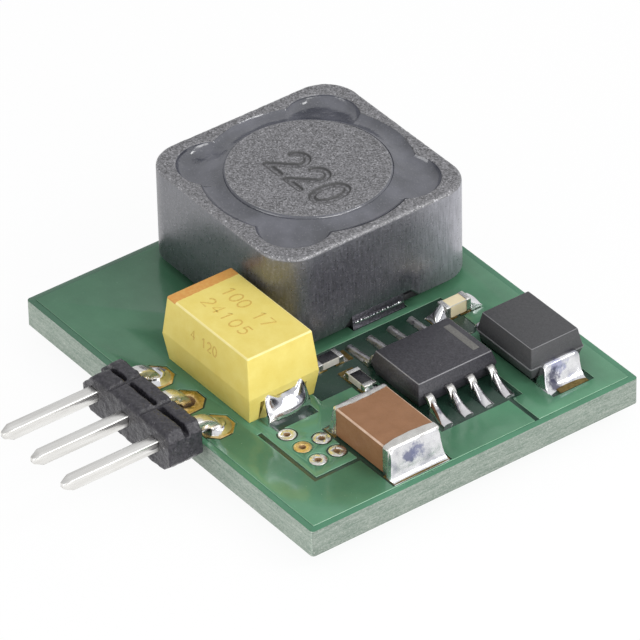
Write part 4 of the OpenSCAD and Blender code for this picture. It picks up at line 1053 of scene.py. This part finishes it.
dress("ic_body", [CHIP_BLACK, CHIP_EDGE_HIGHLIGHT], 0.05, 3, pick=edges)
IC_TOP = box("ic_body")[1][2]
IC_BAR_LO = (4.42, 3.75)
IC_BAR_HI = (6.84, 4.14)
BAR_SUNK = 0.02
BAR_T = 0.005
shape = slab((*IC_BAR_LO, IC_TOP - BAR_SUNK), (*IC_BAR_HI, IC_TOP + BAR_T))
make_piece("ic_bar", shape, CHIP_BAR)
LEFT_LEADS = (1, 2, 3, 4)
LEAD_FOOT = 0.42
LEAD_HALF = 0.22
for i in LEFT_LEADS + RIGHT_LEADS:
    dress("ic_lead_%d" % i, TIN, 0.04, 3)
for name, side, leads, heel_in, wide, reach, rise, toe, crown, look in (
        ("left", -1, LEFT_LEADS, 0.0, LEAD_HALF, 1.82, 0.36, 0.2, 0.85, SOLDER_FAR),
        ("right", 1, RIGHT_LEADS, 0.1, 0.27, 1.17, 0.8, 0.1, 0.6, SOLDER_LEAD)):
    parts = []
    for i in leads:
        lead_lo, lead_hi = box("ic_lead_%d" % i)
        tip = lead_hi[0] if side > 0 else lead_lo[0]
        at = (tip - side * LEAD_FOOT - side * heel_in, (lead_lo[1] + lead_hi[1]) / 2)
        parts.append(fillet(at, side, wide, LEAD_HALF, horned(reach, 0.04), even(rise), SLOPE,
                            toe, back=0.02, crown=crown, columns=21, seed=i * 1.7))
    joint("ic_solder_" + name, merge(parts), look, sharp=50)

# Diode

diode_lo, diode_hi = box("diode_body")
diode_mid = (diode_lo + diode_hi) / 2
diode_half = (diode_hi - diode_lo) / 2
dress("diode_body", [DIODE_BLACK, DIODE_EDGE_HIGHLIGHT], 0.06, 3, pick=edges)
BELT_Z = 1.05
BELT_HALF_H = 0.03
BELT_OUT = 0.035
BELT_IN = -0.1
BELT_CORNER = 0.1
rings = []
for grow, rise in ((BELT_OUT, -1), (BELT_OUT, 1), (BELT_IN, 1), (BELT_IN, -1)):
    outline = rect_ring(diode_mid[:2], diode_half[:2] + grow, BELT_CORNER + max(grow, 0))
    rings.append(np.column_stack([outline, np.full(len(outline), BELT_Z + rise * BELT_HALF_H)]))
# The belt takes the diode's pale edge look: a painted highlight.
make_piece("diode_belt", loft(rings, closed=True), DIODE_EDGE_HIGHLIGHT, sharp=30)
DIODE_SHIFT = -0.2
DIODE_WALL = 0.03
for end, side in (("anode", -1), ("cathode", 1)):
    dress("diode_" + end, TIN)
    x = diode_mid[0] + side * (diode_half[0] + DIODE_WALL)
    shape = fillet((x, diode_mid[1] + DIODE_SHIFT), side, 1.16, 1.1, horned(0.93, 0.22, 3),
                   horned(1.2, 0.04), OVER_STEP, columns=FINE, seed=5.0, ends=0.22, lean=0.24)
    joint("diode_solder_" + end, shape, SOLDER_DIODE)
    end_pad("diode_" + end, x, diode_mid[1], side, 0.0, 1.27, -0.78, 0.95)

# Ceramic capacitor with arched end bands

mlcc_lo = np.minimum(box("mlcc_cap_left")[0], box("mlcc_cap_right")[0])
mlcc_hi = np.maximum(box("mlcc_cap_left")[1], box("mlcc_cap_right")[1])
mlcc_mid = (mlcc_lo + mlcc_hi) / 2
MLCC_R = 0.15
LEAST_R = 0.02
BAND_T = 0.08
BAND_WOBBLE = 0.03
WOBBLE_RATE = 2.2
WIDE_FACE = 0.2
dress("mlcc_body", [CERAMIC_BROWN, CERAMIC_EDGE_HIGHLIGHT], 0.05, 3, pick=edges)


def cap_mesh(side, band, arch):
    """An end cap: a shell with round edges whose band bulges inwards on the wide faces."""
    half = (mlcc_hi - mlcc_lo) / 2
    end = mlcc_mid[0] + side * half[0]

    def ring(inset, x):
        outline = rect_ring(mlcc_mid[1:], half[1:] - inset, max(MLCC_R - inset, LEAST_R), 7, 12)
        xs = np.array([x(p) if callable(x) else x for p in outline])
        return np.column_stack([xs, outline])

    def inner(p):
        s = (p[0] - mlcc_mid[1]) / half[1]
        on_top = abs(p[1] - mlcc_mid[2]) > half[2] - WIDE_FACE
        wobble = BAND_WOBBLE * noise_at(p[0] * WOBBLE_RATE, p[1] * WOBBLE_RATE, side * 3.0)
        return end - side * (band + (arch * (1 - s * s) if on_top else 0.0) + wobble)

    rings = [ring(BAND_T, inner), ring(0.0, inner)]
    for a in np.radians((0, 22, 45, 68, 90)):
        rings.append(ring(MLCC_R * (1 - math.cos(a)), end - side * MLCC_R * (1 - math.sin(a))))
    return loft(rings)


COAT_SUNK = 0.05
for name, side, band, arch in (("left", -1, 0.31, 0.12), ("right", 1, 0.42, 0.17)):
    node = "mlcc_cap_" + name
    make_piece(node + "_fine", cap_mesh(side, band, arch), TIN, (node,), sharp=35)
    x = mlcc_mid[0] + side * (mlcc_hi[0] - mlcc_lo[0]) / 2
    shape = fillet((x - side * COAT_SUNK, mlcc_mid[1]), side, 1.66, 1.5, horned(0.65, 0.08),
                   even(1.7), COAT, columns=FINE, seed=8.0, ends=0.12)
    joint("mlcc_solder_" + name, shape, SOLDER_MLCC)
    end_pad("mlcc_" + name, x, mlcc_mid[1], side, 0.3, 0.58, -1.68, 1.72)

# Small chip parts

CHIP_FOOT_HALF = 0.45
CHIP_TOP_HALF = 0.36
CHIP_PAD_HALF = 0.44
CHIP_PAD_SHOWS = 0.03


def chip_joints(node, top, reach, profile, crown):
    """Both joints of a small chip and the pads under them, from the box of its end caps."""
    lo, hi = box(node + "_ends")
    mid = (lo + hi) / 2
    along = 1 if hi[1] - lo[1] > hi[0] - lo[0] else 0
    rim = [CHIP_PAD_HALF, CHIP_PAD_HALF]
    rim[along] = reach + CHIP_PAD_SHOWS
    parts = []
    for side in (-1, 1):
        at = mid[:2].copy()
        at[along] += side * (hi[along] - lo[along]) / 2
        parts.append(fillet(at, side, CHIP_FOOT_HALF, CHIP_TOP_HALF, horned(reach, 0.06), even(top),
                            profile, crown=crown, seed=at[0], along=along))
        pad("%s_%d" % (node, side + 1), at[0] - rim[0], at[0] + rim[0], at[1] - rim[1], at[1] + rim[1])
    joint(node + "_solder", merge(parts), SOLDER)


dress("chip_cap_body", [CERAMIC_BEIGE, ALUMINA], pick=edges)
dress("chip_cap_ends", TIN, 0.03, 3)
chip_joints("chip_cap", 0.8, 0.66, DOME, 0.6)
for node in ("resistor_1", "resistor_2"):
    dress(node + "_body", ALUMINA, 0.02)
    dress(node + "_glaze", GLAZE, 0.01)
    dress(node + "_ends", TIN, 0.03, 3)
    chip_joints(node, 0.4, 0.5, HOLLOW, 0.3)

# Floor, light and camera

FLOOR_HALF = 1.5
FLOOR_Z = -2e-5
FLOOR_GREY = 0.94
FLOOR_GLOW = 0.93
floor_mesh = bpy.data.meshes.new("floor")
corners = [(x * FLOOR_HALF, y * FLOOR_HALF, FLOOR_Z) for x, y in ((-1, -1), (1, -1), (1, 1), (-1, 1))]
floor_mesh.from_pydata(corners, [], [(0, 1, 2, 3)])
sheet = Look("floor", (255, 255, 255), 0.9, specular_ior_level=0.0)
sheet.drive(base_color=(FLOOR_GREY, FLOOR_GREY, FLOOR_GREY, 1))
path = sheet.node("LightPath").outputs
seen = sheet.math("MAXIMUM", path["Is Glossy Ray"], path["Is Transmission Ray"])
seen = sheet.math("MAXIMUM", path["Is Camera Ray"], seen)
white = sheet.node("Emission", Strength=1.0)
blend = sheet.node("MixShader", sheet.times(seen, FLOOR_GLOW), sheet.shader.outputs[0], white.outputs[0])
output = next(n for n in sheet.tree.nodes if n.type == "OUTPUT_MATERIAL")
sheet.link(blend.outputs[0], output.inputs["Surface"])
floor_mesh.materials.append(sheet.material)
floor = new_object("floor", floor_mesh)
floor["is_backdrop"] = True

SKY_WAY = (0.6, 0.4, 0.7)
SKY_SPAN = (-0.6, 0.9)
SKY_LEVELS = (0.55, 0.92)
SKY_COLOUR = (0.985, 0.99, 1.0, 1)
world = bpy.data.worlds.new("studio")
bpy.context.scene.world = world
world.use_nodes = True
sky = Nodes(world.node_tree)
way = sky.node("TexCoord").outputs["Generated"]
facing = sky.node("VectorMath", way, Vector(SKY_WAY).normalized(), operation="DOT_PRODUCT").outputs["Value"]
background = sky.tree.nodes["Background"].inputs
sky.link(sky.fit(facing, *SKY_SPAN, *SKY_LEVELS), background["Strength"])
sky.link(SKY_COLOUR, background["Color"])


def softbox(name, direction, distance, size, watts):
    """A square area light that faces the object."""
    light = bpy.data.lights.new(name, "AREA")
    light.shape = "SQUARE"
    light.size = size
    light.energy = watts
    lamp = new_object(name, light)
    way = Vector(direction).normalized()
    lamp.location = way * distance
    lamp.rotation_euler = way.to_track_quat("Z", "Y").to_euler()


softbox("key", (0.62, 0.4, 0.68), 0.12, 0.04, 0.026)
softbox("side", (0.95, -0.1, 0.3), 0.12, 0.07, 0.048)
softbox("fill", (0.0, -0.97, 0.25), 0.2, 0.12, 0.085)

CAMERA_TARGET = (0.000247, 0.003198, 0.004)
CAMERA_DISTANCE = 0.33257
CAMERA_AZIMUTH = 54.041
CAMERA_ELEVATION = 36.391
CAMERA_ROLL = -1.2751
CAMERA_LENS = 378.47
a, e, roll = (math.radians(d) for d in (CAMERA_AZIMUTH, CAMERA_ELEVATION, CAMERA_ROLL))
back = Vector((math.sin(a) * math.cos(e), -math.cos(a) * math.cos(e), math.sin(e)))
right = Vector((math.cos(a), math.sin(a), 0))
up = back.cross(right)
right, up = math.cos(roll) * right + math.sin(roll) * up, math.cos(roll) * up - math.sin(roll) * right
lens = bpy.data.cameras.new("camera")
lens.lens = CAMERA_LENS
lens.sensor_width = 36
lens.clip_start = 0.01
camera = new_object("camera", lens)
camera.matrix_world = Matrix((
    (right.x, up.x, back.x, CAMERA_TARGET[0] + back.x * CAMERA_DISTANCE),
    (right.y, up.y, back.y, CAMERA_TARGET[1] + back.y * CAMERA_DISTANCE),
    (right.z, up.z, back.z, CAMERA_TARGET[2] + back.z * CAMERA_DISTANCE),
    (0, 0, 0, 1),
))
bpy.context.scene.camera = camera
bpy.context.scene.view_settings.view_transform = "Standard"

lo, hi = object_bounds()
